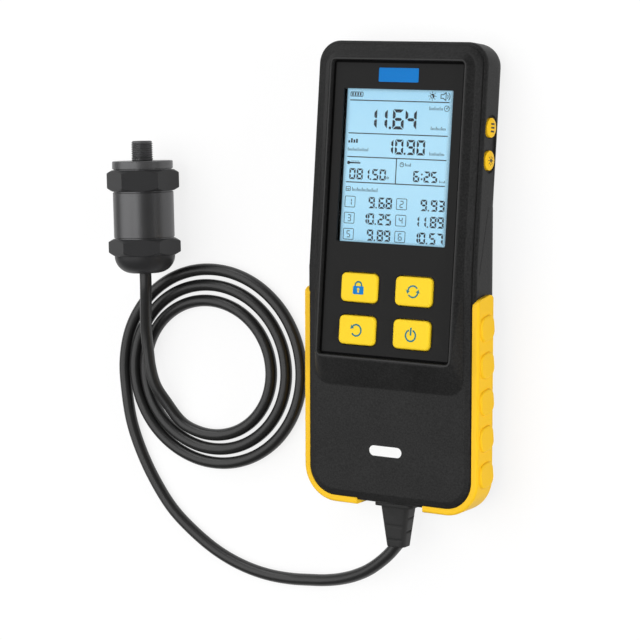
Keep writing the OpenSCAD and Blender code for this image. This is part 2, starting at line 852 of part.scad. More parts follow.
module battery_springs() {
    wire_r = 0.35;
    coils = 3;
    coil_r = 0.34 * cell_d;
    steps = 14;
    run = spring_l - 2 * wire_r - 0.1;
    color("#b9bcc0") handle() for (i = [0 : 2]) {
        way = i == 1 ? -1 : 1;
        foot_y = -way * (cell_l + spring_l) / 2;
        translate([(i - 1) * cell_pitch, -cell_drop + foot_y, -cell_z])
            tube([for (k = [0 : coils * steps]) let (a = k * 360 / steps, part = k / (coils * steps)) [
                coil_r * (1 - 0.33 * part) * cos(a),
                way * (wire_r + 0.05 + run * part),
                coil_r * (1 - 0.33 * part) * sin(a)
            ]], wire_r, 6, [0, 1, 0]);
    }
}

module battery_plates() {
    plate_h = cell_d - 1;
    color("#c9c6bd") handle() for (y = [-1, 1]) {
        translate([0, -cell_drop + y * (bay_l / 2 - plate_t / 2), -cell_z])
            cube([bay_w - 1, plate_t, plate_h], center = true);
    }
}

module case_screw() {
    translate([0, 0, screw_seat - 2.4]) difference() {
        union() {
            cylinder(d = screw_head_d, h = 2.4);
            cylinder(d = screw_d, h = 2.4 + screw_l);
        }
        translate([0, 0, -1]) cylinder(d = 2.6, h = 2.2, $fn = 6);
    }
}

module case_screws() {
    color("#8d9094") {
        at_head_screws() case_screw();
        at_handle_screws() case_screw();
    }
}

module strain_relief() {
    neck = [relief_w - 3.7, relief_t - 2.7];
    tip = [cord_d + 3.6, cord_d + 2.2];
    slot_n = 2;
    color("#2f3031") handle() translate([0, -handle_len, -relief_z]) rotate([90, 0, 0]) difference() {
        union() {
            translate([0, 0, -wall]) linear_extrude(wall + eps) rounded(neck[0], neck[1], 1.9);
            translate([0, 0, -wall - 1.6]) linear_extrude(1.6) rounded(relief_w, relief_t - 0.6, 2.5);
            linear_extrude(relief_flange) rounded(relief_w + 5, relief_t + 1.2, 2.2);
            hull($fn = 32) {
                translate([0, 0, relief_flange - eps]) linear_extrude(eps) rounded(relief_w, relief_t, 2.6);
                translate([0, 0, relief_flange + relief_l - 1]) linear_extrude(1)
                    rounded(tip[0], tip[1], 2.4);
            }
        }
        for (i = [0 : slot_n - 1]) {
            translate([0, relief_t / 2 + 0.4 - i * 0.5, relief_flange + relief_l * (0.47 + 0.35 * i)])
                rotate([0, 90, 0]) linear_extrude(relief_w - 5 - 1.6 * i, center = true)
                    rounded(1, 2.6, 0.45);
            for (x = [-1, 1]) {
                translate([x * (relief_w / 2 - i * 0.9), 0, relief_flange + relief_l * (0.28 + 0.34 * i)])
                    rotate([90, 0, 0]) linear_extrude(relief_t - 4 - 1.2 * i, center = true)
                        rounded(2.6, 1, 0.45);
            }
        }
    }
}

module sensor_cord() {
    color("#202122") tube(route, cord_r, cord_sides, [0, 0, 1], relief_face);
}

// Turned piece along the sensor's axis
module turned() {
    rotate([-90, 0, 0]) children();
}

// Hexagon with the chamfered corners of a turned nut, resting on a corner
module hex_nut(base, length) {
    chamfer = (hex_ac - hex_af) / 2 + 0.3;
    flat = chamfer * tan(30);
    corner = hex_ac / 2;
    translate([0, 0, base]) intersection() {
        rotate([0, 0, 30]) cylinder(r = corner, h = length, $fn = 6);
        rotate_extrude() polygon([
            [0, 0],
            [corner - chamfer, 0],
            [corner + eps, flat],
            [corner + eps, length - flat],
            [corner - chamfer, length],
            [0, length]
        ]);
    }
}

module sensor_cap() {
    round_r = 7;
    color("#2a2b2c") sensor() turned() difference() {
        union() {
            rotate_extrude() difference() {
                union() {
                    square([sleeve_d / 2 - round_r, dome_l + eps]);
                    translate([0, round_r]) square([sleeve_d / 2, dome_l + eps - round_r]);
                    intersection() {
                        translate([sleeve_d / 2 - round_r, round_r]) circle(round_r);
                        square([sleeve_d / 2, round_r]);
                    }
                }
            }
            hex_nut(dome_l, cap_hex_l);
            translate([0, 0, cap_top - eps]) cylinder(d = bore_d - 0.2, h = spigot);
        }
        translate([0, 0, 5]) cylinder(d = bore_d - 4, h = cap_top + spigot);
    }
}

module sensor_sleeve() {
    color("#3a3c3e") sensor() turned() difference() {
        union() {
            translate([0, 0, cap_top]) cylinder(d = sleeve_d - 1.6, h = sleeve_l);
            translate([0, 0, cap_top + neck_l]) cylinder(d = sleeve_d, h = sleeve_l - 2 * neck_l);
        }
        translate([0, 0, cap_top - 1]) cylinder(d = bore_d, h = sleeve_l + 2);
    }
}

module sensor_head() {
    groove_d = bore_d - 3.2;
    color("#2a2b2c") sensor() turned() difference() {
        union() {
            translate([0, 0, sleeve_top - spigot]) cylinder(d = bore_d - 0.2, h = spigot + eps);
            hex_nut(sleeve_top, head_hex_l);
            translate([0, 0, collar_base - eps]) cylinder(d = sleeve_d - 1.2, h = collar_l + eps);
            translate([0, 0, collar_base + 0.5]) cylinder(d = sleeve_d, h = collar_l - 1);
            translate([0, 0, collar_top - 0.5 - eps])
                cylinder(d1 = sleeve_d, d2 = sleeve_d - 1, h = 0.5 + eps);
            translate([0, 0, collar_top - eps]) cylinder(d = stud_d, h = stud_l - 1 + eps);
            translate([0, 0, collar_top + stud_l - 1]) cylinder(d1 = stud_d, d2 = stud_d - 1.6, h = 1);
        }
        translate([0, 0, sleeve_top - spigot - 1]) cylinder(d = cell_disc_d - 5, h = spigot + 4);
        translate([0, 0, sleeve_top]) cylinder(d = port_d, h = collar_top + stud_l);
        translate([0, 0, sleeve_top - spigot + 1]) difference() {
            cylinder(d = bore_d + 2, h = 1.6);
            translate([0, 0, -1]) cylinder(d = groove_d, h = 4);
        }
    }
}

module sensor_seal() {
    ring_r = 0.7;
    color("#161616") sensor() turned() translate([0, 0, sleeve_top - spigot + 1.8])
        rotate_extrude() translate([bore_d / 2 - ring_r - 0.15, 0]) circle(ring_r);
}

module sensing_cell() {
    color("#b4b7ba") sensor() turned() translate([0, 0, sleeve_top - spigot - 3.5]) {
        cylinder(d = cell_disc_d, h = 3.5);
        translate([0, 0, 3]) cylinder(d = cell_disc_d - 6, h = 3);
    }
}

module sensor_board() {
    color("#1d5a38") sensor() turned() translate([0, 0, sleeve_top - spigot - 5.4]) {
        cylinder(d = bore_d - 1, h = 1.4);
        for (a = [0 : 120 : 240]) rotate([0, 0, a]) translate([6, 0, 1.4 - eps]) cylinder(d = 1, h = 0.5 + eps);
    }
}

front_cover();
rear_cover();
face_panel();
display_window();
lcd_cell();
backlight();
main_board();
controller_chip();
board_header();
buzzer();
key_switches();
side_switches();
key_lock();
key_cycle();
key_back();
key_power();
side_button_upper();
side_button_lower();
left_grip();
right_grip();
battery_door();
door_screw();
battery_1();
battery_2();
battery_3();
battery_springs();
battery_plates();
case_screws();
strain_relief();
sensor_cord();
sensor_cap();
sensor_sleeve();
sensor_head();
sensing_cell();
sensor_board();
sensor_seal();
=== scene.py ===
import json
import bpy
import numpy as np
from mathutils import Matrix
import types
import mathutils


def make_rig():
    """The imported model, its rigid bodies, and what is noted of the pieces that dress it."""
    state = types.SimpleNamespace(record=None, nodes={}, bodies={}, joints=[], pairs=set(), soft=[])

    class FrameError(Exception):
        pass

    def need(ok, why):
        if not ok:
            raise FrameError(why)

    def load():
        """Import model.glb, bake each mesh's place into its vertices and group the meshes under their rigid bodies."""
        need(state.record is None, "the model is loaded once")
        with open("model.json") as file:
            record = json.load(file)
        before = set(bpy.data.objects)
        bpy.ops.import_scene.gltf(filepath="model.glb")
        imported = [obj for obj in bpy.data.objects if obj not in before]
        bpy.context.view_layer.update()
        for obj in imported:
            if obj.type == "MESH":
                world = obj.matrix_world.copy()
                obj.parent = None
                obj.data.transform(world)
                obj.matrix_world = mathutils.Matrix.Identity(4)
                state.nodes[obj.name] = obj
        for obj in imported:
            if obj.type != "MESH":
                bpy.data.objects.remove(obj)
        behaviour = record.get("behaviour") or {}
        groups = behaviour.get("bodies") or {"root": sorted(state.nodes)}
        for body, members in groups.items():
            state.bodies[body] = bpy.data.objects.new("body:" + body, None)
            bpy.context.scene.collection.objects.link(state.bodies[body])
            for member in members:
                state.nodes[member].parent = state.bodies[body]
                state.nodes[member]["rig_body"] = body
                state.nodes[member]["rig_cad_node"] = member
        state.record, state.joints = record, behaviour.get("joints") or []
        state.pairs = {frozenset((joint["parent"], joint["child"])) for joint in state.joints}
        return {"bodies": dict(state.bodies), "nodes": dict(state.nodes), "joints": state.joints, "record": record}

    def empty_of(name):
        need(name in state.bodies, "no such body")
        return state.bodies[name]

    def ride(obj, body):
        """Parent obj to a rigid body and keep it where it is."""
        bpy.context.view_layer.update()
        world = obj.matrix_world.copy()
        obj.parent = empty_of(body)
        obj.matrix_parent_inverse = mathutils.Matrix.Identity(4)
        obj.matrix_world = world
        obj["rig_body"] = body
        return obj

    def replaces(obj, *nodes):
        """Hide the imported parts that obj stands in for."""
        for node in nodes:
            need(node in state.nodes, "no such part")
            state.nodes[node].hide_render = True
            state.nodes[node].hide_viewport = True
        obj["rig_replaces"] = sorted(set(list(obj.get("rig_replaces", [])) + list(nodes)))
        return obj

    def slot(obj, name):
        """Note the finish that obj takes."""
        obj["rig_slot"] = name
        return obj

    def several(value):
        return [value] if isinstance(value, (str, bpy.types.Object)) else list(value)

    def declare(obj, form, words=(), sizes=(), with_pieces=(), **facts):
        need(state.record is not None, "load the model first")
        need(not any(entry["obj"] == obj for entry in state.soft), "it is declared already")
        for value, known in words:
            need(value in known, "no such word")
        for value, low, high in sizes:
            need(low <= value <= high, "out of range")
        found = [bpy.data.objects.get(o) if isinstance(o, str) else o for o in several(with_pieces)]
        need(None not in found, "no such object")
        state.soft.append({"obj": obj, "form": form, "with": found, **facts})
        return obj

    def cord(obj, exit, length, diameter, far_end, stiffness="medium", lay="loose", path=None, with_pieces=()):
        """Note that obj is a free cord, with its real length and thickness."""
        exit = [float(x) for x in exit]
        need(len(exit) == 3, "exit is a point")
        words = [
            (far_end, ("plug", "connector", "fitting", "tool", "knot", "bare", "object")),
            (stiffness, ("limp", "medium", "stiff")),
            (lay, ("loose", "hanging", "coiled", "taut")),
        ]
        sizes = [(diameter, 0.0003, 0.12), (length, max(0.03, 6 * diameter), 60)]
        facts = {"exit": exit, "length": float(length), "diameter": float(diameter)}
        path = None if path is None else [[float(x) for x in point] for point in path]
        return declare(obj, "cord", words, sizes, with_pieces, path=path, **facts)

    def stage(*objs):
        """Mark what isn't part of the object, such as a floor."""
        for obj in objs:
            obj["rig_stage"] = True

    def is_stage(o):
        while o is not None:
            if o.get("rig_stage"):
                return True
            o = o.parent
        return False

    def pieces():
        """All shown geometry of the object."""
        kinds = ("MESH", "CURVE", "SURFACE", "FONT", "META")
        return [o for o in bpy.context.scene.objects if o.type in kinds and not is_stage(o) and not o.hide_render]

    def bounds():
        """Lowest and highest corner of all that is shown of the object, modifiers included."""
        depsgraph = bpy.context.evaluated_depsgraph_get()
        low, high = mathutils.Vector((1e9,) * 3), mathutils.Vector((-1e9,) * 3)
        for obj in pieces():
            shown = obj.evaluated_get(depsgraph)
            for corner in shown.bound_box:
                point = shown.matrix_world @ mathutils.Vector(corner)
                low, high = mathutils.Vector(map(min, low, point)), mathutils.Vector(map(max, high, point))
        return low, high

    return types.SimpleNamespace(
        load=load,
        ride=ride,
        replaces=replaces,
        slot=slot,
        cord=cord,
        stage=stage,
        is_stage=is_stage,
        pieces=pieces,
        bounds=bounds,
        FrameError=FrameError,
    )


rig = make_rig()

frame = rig.load()
cadLow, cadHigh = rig.bounds()
nodes = frame["nodes"]
mm = 0.001


def unit(v):
    v = np.asarray(v, float)
    return v / np.linalg.norm(v, axis=-1, keepdims=True)


# a node's corners as an array, in metres
def corners(name):
    mesh = nodes[name].data
    flat = np.empty(len(mesh.vertices) * 3, np.float32)
    mesh.vertices.foreach_get("co", flat)
    return flat.reshape(-1, 3).astype(float)


# how far a node reaches along a direction, lowest and highest
def reach(name, direction):
    along = corners(name) @ direction
    return along.min(), along.max()


# the direction in which a node's corners spread least, turned upward
def flatUp(name):
    cloud = corners(name)
    normal = np.linalg.svd(cloud - cloud.mean(0), full_matrices=False)[2][2]
    return normal * np.sign(normal[2])


# directions of the display head, the handle and the sensor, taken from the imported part
across = np.array([1.0, 0.0, 0.0])
headUp = -unit(next(j["axis"] for j in frame["joints"] if j["name"] == "key_lock_press"))
headAlong = np.cross(headUp, across)
handleUp = flatUp("battery_door")
handleAlong = np.cross(handleUp, across)
studMount = frame["record"]["mounts"][0]
sensorAxis = unit(studMount["axis"])
sensorPoint = np.array(studMount["pos_m"])


cameraView = {
    "eye": (0.50317, 0.10493, 0.90850),
    "look": (-0.51679, -0.11210, -0.84874),
    "up": (-0.07197, 0.99357, -0.08741),
    "lens": 133.3,
    "sensorWidth": 36.0,
    "clipStart": 0.01,
}


def makeCamera(view):
    look = unit(view["look"])
    right = unit(np.cross(look, view["up"]))
    turn = Matrix([right, np.cross(right, look), -look]).transposed().to_4x4()
    data = bpy.data.cameras.new("photoCamera")
    data.lens = view["lens"]
    data.sensor_width = view["sensorWidth"]
    data.clip_start = view["clipStart"]
    camera = bpy.data.objects.new("photoCamera", data)
    camera.matrix_world = Matrix.Translation(view["eye"]) @ turn
    bpy.context.scene.collection.objects.link(camera)
    bpy.context.scene.camera = camera


makeCamera(cameraView)
print("camera placed")


# a finished object at the origin from points in metres: smooth with edges over the sharp angle kept, or flat
def addPiece(name, points, faces, material, body, slotName, sharp=None):
    mesh = bpy.data.meshes.new(name)
    mesh.from_pydata(np.asarray(points).tolist(), [], faces)
    mesh.polygons.foreach_set("use_smooth", np.full(len(mesh.polygons), sharp is not None))
    if sharp is not None:
        mesh.set_sharp_from_angle(angle=np.radians(sharp))
    mesh.materials.append(material)
    piece = bpy.data.objects.new(name, mesh)
    bpy.context.scene.collection.objects.link(piece)
    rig.slot(piece, slotName)
    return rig.ride(piece, body)


# stacked closed rings, numbered row by row and skinned in order, with a flat face over each end
def ringFaces(rows, cols):
    row, col = np.meshgrid(np.arange(rows - 1), np.arange(cols), indexing="ij")
    low, nextOne = row * cols + col, row * cols + (col + 1) % cols
    quads = np.stack([low, nextOne, nextOne + cols, low + cols], -1).reshape(-1, 4)
    ring = np.arange(cols)
    return quads.tolist() + [ring[::-1].tolist(), (ring + (rows - 1) * cols).tolist()]


# shader nodes

def addNode(tree, kind, **values):
    node = tree.nodes.new(kind)
    for key, value in values.items():
        if hasattr(node, key):
            setattr(node, key, value)
        else:
            node.inputs[key].default_value = value
    return node


# an input takes a fixed value, or the output of another node
def wire(tree, source, target):
    if isinstance(source, bpy.types.NodeSocket):
        tree.links.new(source, target)
    else:
        target.default_value = source


def mathNode(tree, operation, a, b=0.0):
    node = addNode(tree, "ShaderNodeMath", operation=operation)
    wire(tree, a, node.inputs[0])
    wire(tree, b, node.inputs[1])
    return node.outputs[0]


def mixNode(tree, share, first, second):
    node = addNode(tree, "ShaderNodeMix", data_type="RGBA")
    for source, target in ((share, node.inputs[0]), (first, node.inputs[6]), (second, node.inputs[7])):
        wire(tree, source, target)
    return node.outputs[2]


# how far the object's points lie along a direction
def alongNode(tree, place, direction):
    node = addNode(tree, "ShaderNodeVectorMath", operation="DOT_PRODUCT")
    wire(tree, place.outputs["Object"], node.inputs[0])
    wire(tree, direction, node.inputs[1])
    return node.outputs["Value"]


def newMaterial(name):
    material = bpy.data.materials.new(name)
    material.use_nodes = True
    tree = material.node_tree
    return material, tree, tree.nodes["Principled BSDF"]


# an empty surface group: colour and roughness go in and come out changed, with a height for the bump
def newGroup(name, moreInputs=()):
    tree = bpy.data.node_groups.new(name, "ShaderNodeTree")
    inputs = [("Colour", "Color"), ("Roughness", "Float"), ("Scale", "Float"), ("Tone", "Float"),
              ("Gloss Drift", "Float"), *moreInputs]
    outputs = [("Colour", "Color"), ("Roughness", "Float"), ("Height", "Float")]
    for side, sockets in (("INPUT", inputs), ("OUTPUT", outputs)):
        for label, kind in sockets:
            tree.interface.new_socket(label, in_out=side, socket_type="NodeSocket" + kind)
    return tree, tree.nodes.new("NodeGroupInput"), tree.nodes.new("NodeGroupOutput")


# two noises in their shares, less their mean, so that the mix swings about zero
def centredMix(tree, fine, slow, look):
    mixed = mathNode(tree, "ADD", mathNode(tree, "MULTIPLY", fine, look["fineShare"]),
                     mathNode(tree, "MULTIPLY", slow, look["slowShare"]))
    return mathNode(tree, "SUBTRACT", mixed, (look["fineShare"] + look["slowShare"]) / 2)


# the colour is scaled by one plus its share of the tone, and the roughness moves by its share of the gloss
def putOut(tree, given, out, tone, gloss, height):
    tint = addNode(tree, "ShaderNodeVectorMath", operation="SCALE")
    wire(tree, given.outputs["Colour"], tint.inputs[0])
    offset = mathNode(tree, "MULTIPLY", tone, given.outputs["Tone"])
    wire(tree, mathNode(tree, "ADD", offset, 1.0), tint.inputs["Scale"])
    wire(tree, tint.outputs[0], out.inputs["Colour"])
    drift = mathNode(tree, "MULTIPLY", gloss, given.outputs["Gloss Drift"])
    wire(tree, mathNode(tree, "ADD", drift, given.outputs["Roughness"]), out.inputs["Roughness"])
    wire(tree, height, out.inputs["Height"])


mouldedGrain = {"fineShare": 2.2, "slowShare": 0.8, "slowScale": 55.0}


# moulded surface: a fine grain in tone and bump, and a slow drift of tone and gloss
def makeGrainGroup(look):
    tree, given, out = newGroup("mouldedGrain")
    place = addNode(tree, "ShaderNodeTexCoord")
    fine = addNode(tree, "ShaderNodeTexNoise", Detail=2.0, Roughness=0.6)
    slow = addNode(tree, "ShaderNodeTexNoise", Scale=look["slowScale"], Detail=3.0)
    wire(tree, given.outputs["Scale"], fine.inputs["Scale"])
    for noise in (fine, slow):
        wire(tree, place.outputs["Object"], noise.inputs["Vector"])
    tone = centredMix(tree, fine.outputs[0], slow.outputs[0], look)
    putOut(tree, given, out, tone, mathNode(tree, "SUBTRACT", slow.outputs[0], 0.5), fine.outputs[0])
    return tree


turnedRings = {"fineShare": 0.7, "slowShare": 0.6, "slowScale": 90.0}


# turned metal: fine rings along an axis, broken up by a slow drift
def makeTurnedGroup(look):
    tree, given, out = newGroup("turnedRings", [("Axis", "Vector")])
    place = addNode(tree, "ShaderNodeTexCoord")
    rings = addNode(tree, "ShaderNodeTexNoise", noise_dimensions="1D", Detail=3.0, Roughness=0.7)
    wire(tree, alongNode(tree, place, given.outputs["Axis"]), rings.inputs["W"])
    wire(tree, given.outputs["Scale"], rings.inputs["Scale"])
    slow = addNode(tree, "ShaderNodeTexNoise", Scale=look["slowScale"], Detail=3.0)
    wire(tree, place.outputs["Object"], slow.inputs["Vector"])
    tone = centredMix(tree, rings.outputs[0], slow.outputs[0], look)
    putOut(tree, given, out, tone, tone, rings.outputs[0])
    return tree


grainGroup = makeGrainGroup(mouldedGrain)
turnedGroup = makeTurnedGroup(turnedRings)


# a colour as it is seen, 0 to 255, in the renderer's linear values
def linear(red, green, blue):
    c = np.array([red, green, blue]) / 255
    return (*np.where(c <= 0.04045, c / 12.92, ((c + 0.055) / 1.055) ** 2.4), 1.0)


# a material whose colour, gloss and bump come from a group; edge is the radius of its shaded edges
def finishOf(name, look, group=grainGroup):
    material, tree, shader = newMaterial(name)
    surface = addNode(tree, "ShaderNodeGroup", node_tree=group)
    given = {"Colour": linear(*look["colour"]), "Roughness": look["roughness"], "Scale": look["scale"],
             "Tone": look["tone"], "Gloss Drift": look.get("glossDrift", 0.1)}
    if group == turnedGroup:
        given["Axis"] = look.get("axis", tuple(sensorAxis))
    for label, value in given.items():
        surface.inputs[label].default_value = value
    bump = addNode(tree, "ShaderNodeBump", Strength=look["bump"], Distance=look.get("depth", 3e-5))
    if "edge" in look:
        rounded = addNode(tree, "ShaderNodeBevel", Radius=look["edge"])
        wire(tree, rounded.outputs[0], bump.inputs["Normal"])
    wire(tree, surface.outputs["Height"], bump.inputs["Height"])
    wire(tree, surface.outputs["Colour"], shader.inputs["Base Color"])
    wire(tree, surface.outputs["Roughness"], shader.inputs["Roughness"])
    wire(tree, bump.outputs[0], shader.inputs["Normal"])
    shader.inputs["Metallic"].default_value = look.get("metallic", 0.0)
    shader.inputs["Specular IOR Level"].default_value = look.get("specular", 0.5)
    return material


casePlastic = finishOf("casePlastic", {
    "colour": (34, 34, 34), "roughness": 0.46, "scale": 1300, "tone": 0.9, "bump": 0.8, "depth": 1e-4,
    "specular": 0.16, "edge": 8e-4})
panelPlastic = finishOf("panelPlastic", {
    "colour": (29, 29, 29), "roughness": 0.4, "scale": 5200, "tone": 0.12, "bump": 0.12, "specular": 0.1,
    "edge": 3e-4})
keyRubber = finishOf("keyRubber", {
    "colour": (255, 216, 46), "roughness": 0.46, "scale": 3600, "tone": 0.05, "bump": 0.12, "specular": 0.1})
gripRubber = finishOf("gripRubber", {
    "colour": (255, 203, 36), "roughness": 0.46, "scale": 3000, "tone": 0.06, "bump": 0.2, "specular": 0.2})
cordRubber = finishOf("cordRubber", {
    "colour": (26, 26, 26), "roughness": 0.36, "scale": 1900, "tone": 0.25, "bump": 0.12, "specular": 0.5})
reliefRubber = finishOf("reliefRubber", {
    "colour": (45, 45, 45), "roughness": 0.5, "scale": 2400, "tone": 0.3, "bump": 0.25, "specular": 0.2,
    "edge": 1.2e-3})
lockBlue = finishOf("lockBlue", {
    "colour": (16, 126, 200), "roughness": 0.5, "scale": 3800, "tone": 0.12, "bump": 0.1, "specular": 0.1})
symbolBlue = finishOf("symbolBlue", {
    "colour": (54, 126, 134), "roughness": 0.5, "scale": 3800, "tone": 0.12, "bump": 0.1, "specular": 0.1})
patchBlue = finishOf("patchBlue", {
    "colour": (10, 120, 200), "roughness": 0.35, "scale": 2800, "tone": 0.08, "bump": 0.08, "specular": 0.1})
printWhite = finishOf("printWhite", {
    "colour": (250, 250, 249), "roughness": 0.5, "scale": 4200, "tone": 0.05, "bump": 0.15, "specular": 0.1})
symbolDark = finishOf("symbolDark", {
    "colour": (52, 54, 48), "roughness": 0.55, "scale": 3800, "tone": 0.15, "bump": 0.1, "specular": 0.3})
segmentInk = finishOf("segmentInk", {
    "colour": (46, 50, 56), "roughness": 0.6, "scale": 3200, "tone": 0.18, "bump": 0.05, "specular": 0.1})
# slightly lighter and glossier than the case, a painted highlight for the ridge's rounded edge
ridgePolish = finishOf("ridgePolish", {
    "colour": (36, 36, 36), "roughness": 0.4, "scale": 2600, "tone": 0.3, "bump": 0.2, "specular": 0.32})
# near black, a painted shadow for the gap round the panel
seamShade = finishOf("seamShade", {
    "colour": (11, 11, 11), "roughness": 0.8, "scale": 3000, "tone": 0.2, "bump": 0.1, "specular": 0.05})
borderInk = finishOf("borderInk", {
    "colour": (20, 21, 22), "roughness": 0.5, "scale": 3000, "tone": 0.15, "bump": 0.05, "specular": 0.1})
bodySteel = finishOf("bodySteel", {
    "colour": (50, 50, 51), "roughness": 0.4, "scale": 5200, "tone": 0.4, "bump": 0.12, "depth": 1e-5,
    "metallic": 0.3, "specular": 0.16, "glossDrift": 0.15}, turnedGroup)
sleeveSteel = finishOf("sleeveSteel", {
    "colour": (90, 90, 91), "roughness": 0.38, "scale": 3800, "tone": 0.15, "bump": 0.05, "depth": 1e-5,
    "metallic": 0.9, "specular": 0.5, "glossDrift": 0.1}, turnedGroup)
studSteel = finishOf("studSteel", {
    "colour": (90, 90, 91), "roughness": 0.38, "scale": 6000, "tone": 0.3, "bump": 0.1, "depth": 1e-5,
    "metallic": 0.6, "specular": 0.5, "glossDrift": 0.15}, turnedGroup)
screwSteel = finishOf("screwSteel", {
    "colour": (150, 153, 156), "roughness": 0.32, "scale": 4000, "tone": 0.2, "bump": 0.1, "metallic": 1.0,
    "axis": tuple(handleUp)}, turnedGroup)
plateSteel = finishOf("plateSteel", {
    "colour": (188, 190, 193), "roughness": 0.3, "scale": 3000, "tone": 0.1, "bump": 0.1, "metallic": 1.0})
boardGreen = finishOf("boardGreen", {
    "colour": (29, 90, 56), "roughness": 0.4, "scale": 900, "tone": 0.2, "bump": 0.1})
chipBlack = finishOf("chipBlack", {
    "colour": (28, 28, 29), "roughness": 0.6, "scale": 3000, "tone": 0.2, "bump": 0.2})
headerCream = finishOf("headerCream", {
    "colour": (232, 230, 220), "roughness": 0.55, "scale": 2500, "tone": 0.06, "bump": 0.1})
cellWrap = finishOf("cellWrap", {
    "colour": (90, 106, 116), "roughness": 0.35, "scale": 800, "tone": 0.12, "bump": 0.05})
guideWhite = finishOf("guideWhite", {
    "colour": (242, 244, 244), "roughness": 0.4, "scale": 1500, "tone": 0.04, "bump": 0.05})


# clear pane, polished, with a faint drift in its tint
paneLook = {"tints": ((0.95, 0.98, 1.0, 1.0), (0.99, 1.0, 1.0, 1.0)), "smearScale": 120.0, "bending": 1.1}


def makeGlass(look):
    material, tree, shader = newMaterial("clearPane")
    place = addNode(tree, "ShaderNodeTexCoord")
    smear = addNode(tree, "ShaderNodeTexNoise", Scale=look["smearScale"], Detail=3.0)
    wire(tree, place.outputs["Object"], smear.inputs["Vector"])
    wire(tree, mixNode(tree, smear.outputs[0], *look["tints"]), shader.inputs["Base Color"])
    shader.inputs["Roughness"].default_value = 0.0
    shader.inputs["Transmission Weight"].default_value = 1.0
    shader.inputs["IOR"].default_value = look["bending"]
    return material


clearPane = makeGlass(paneLook)
print("finishes ready")


# smooth curve through points: cubic pieces whose slopes are the weighted mean of the steps beside them
def smoothCurve(points, steps):
    points = np.asarray(points, float)
    gap = np.linalg.norm(np.diff(points, axis=0), axis=1)[:, None]
    slope = np.diff(points, axis=0) / gap
    inner = (slope[:-1] * gap[1:] + slope[1:] * gap[:-1]) / (gap[1:] + gap[:-1])
    slope = np.vstack([slope[:1], inner, slope[-1:]])
    t = np.linspace(0, 1, steps, endpoint=False)[None, :, None]
    a, b, g = points[:-1, None], points[1:, None], gap[:, None]
    left, right = slope[:-1, None] * g, slope[1:, None] * g
    curve = (2 * t**3 - 3 * t**2 + 1) * a + (t**3 - 2 * t**2 + t) * left
    curve = curve + (3 * t**2 - 2 * t**3) * b + (t**3 - t**2) * right
    return np.vstack([curve.reshape(-1, 3), points[-1:]])


# round tube: circles set square to a path, the first one slanted so that it lies square to a cut
def tubeMesh(path, radius, sides, cut):
    heading = unit(np.gradient(path, axis=0))
    side = unit(np.cross([0.0, 0.0, 1.0], heading))
    lift = np.cross(heading, side)
    turn = np.linspace(0, 2 * np.pi, sides, endpoint=False)[None, :, None]
    spokes = np.cos(turn) * side[:, None] + np.sin(turn) * lift[:, None]
    spokes[0] -= (spokes[0] @ cut)[:, None] / (heading[0] @ cut) * heading[0]
    return (path[:, None] + radius * spokes).reshape(-1, 3)


sensorCord = {
    "diameter": 5.5,
    "length": 1.003,  # metres, and all else here in millimetres
    "sides": 20,
    "steps": 8,
    "sharp": 60,
    "shift": -0.75,  # where it leaves the strain relief, off the middle
    "slantRoom": 3.2,  # path kept free behind the slanted first ring
    "capStraight": 5.0,
    # the loose turns, by angle in degrees: the middle drifts and the radii grow with every turn
    "turnAngles": (240, 1260, 20),
    "turnMiddle": (-108, -43.25),
    "turnDrift": (1.0, 0.4),
    "turnRadii": (30, 27.75),
    "turnGrowth": (7.1, 6.9),
    "lead": [(-135.8, -10, 15), (-137.3, -18, 12.8), (-138.4, -26, 10.8), (-138.3, -34.5, 9.4),
             (-137.4, -43, 8.7), (-135.2, -51.5, 7.4), (-130.5, -59.5, 5)],
    "tail": [(-155, -57, 2.75), (-152, -71, 2.75), (-146, -85, 2.75), (-138, -98, 2.75),
             (-128, -110, 2.75), (-115, -120, 2.75), (-101, -127.8, 2.75), (-87, -132.6, 2.75),
             (-74, -134.8, 2.75), (-62, -135, 3.2), (-51, -133.9, 4.6), (-41, -132.5, 6.1),
             (-32, -130.4, 7.6), (-23.5, -127.4, 9.1), (-16, -123.6, 10.4), (-9.8, -119.2, 11.4),
             (-4.6, -114.6, 12.2)],
}


# the middle of a node's lowest face along a direction
def endCentre(name, direction, room=0.02 * mm):
    cloud = corners(name)
    low = (cloud @ direction).min()
    face = cloud[cloud @ direction < low + room]
    return (face.min(0) + face.max(0)) / 2


# the loose turns: an ellipse by angle whose middle and radii move on with the number of turns
def looseTurns(look):
    start, end, step = look["turnAngles"]
    angle = np.arange(start, end + 1, step)[:, None]
    turns, bow = (angle - 180) / 360, np.radians(angle)  # turns past the half circle
    middle = look["turnMiddle"] + turns * look["turnDrift"]
    radii = look["turnRadii"] + turns * look["turnGrowth"]
    flat = middle + radii * np.hstack([np.cos(bow), np.sin(bow)])
    return np.hstack([flat, np.full((len(flat), 1), look["diameter"] / 2)])


# one smooth tube from the strain relief through the loose turns to the sensor's cord end
def makeCord(look):
    radius = look["diameter"] * mm / 2
    reliefEnd = endCentre("strain_relief", handleAlong) + look["shift"] * mm * across
    capLow = reach("sensor_cap", sensorAxis)[0]
    capEnd = sensorPoint + (capLow - sensorPoint @ sensorAxis) * sensorAxis
    route = np.vstack([
        capEnd, capEnd - look["capStraight"] * mm * sensorAxis, np.array(look["lead"]) * mm,
        looseTurns(look) * mm, np.array(look["tail"]) * mm, reliefEnd])
    path = smoothCurve(route[::-1], look["steps"])
    path = np.vstack([path[:1], path[np.linalg.norm(path - path[0], axis=1) > look["slantRoom"] * mm]])
    path[:, 2] = np.maximum(path[:, 2], radius)
    points = tubeMesh(path, radius, look["sides"], handleAlong)
    faces = ringFaces(len(path), look["sides"])
    cord = addPiece("sensorCord", points, faces, cordRubber, "gauge", "cord", look["sharp"])
    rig.replaces(cord, "sensor_cord")
    return cord, path


cordPiece, cordPath = makeCord(sensorCord)
print("cord laid,", len(cordPath), "rings")


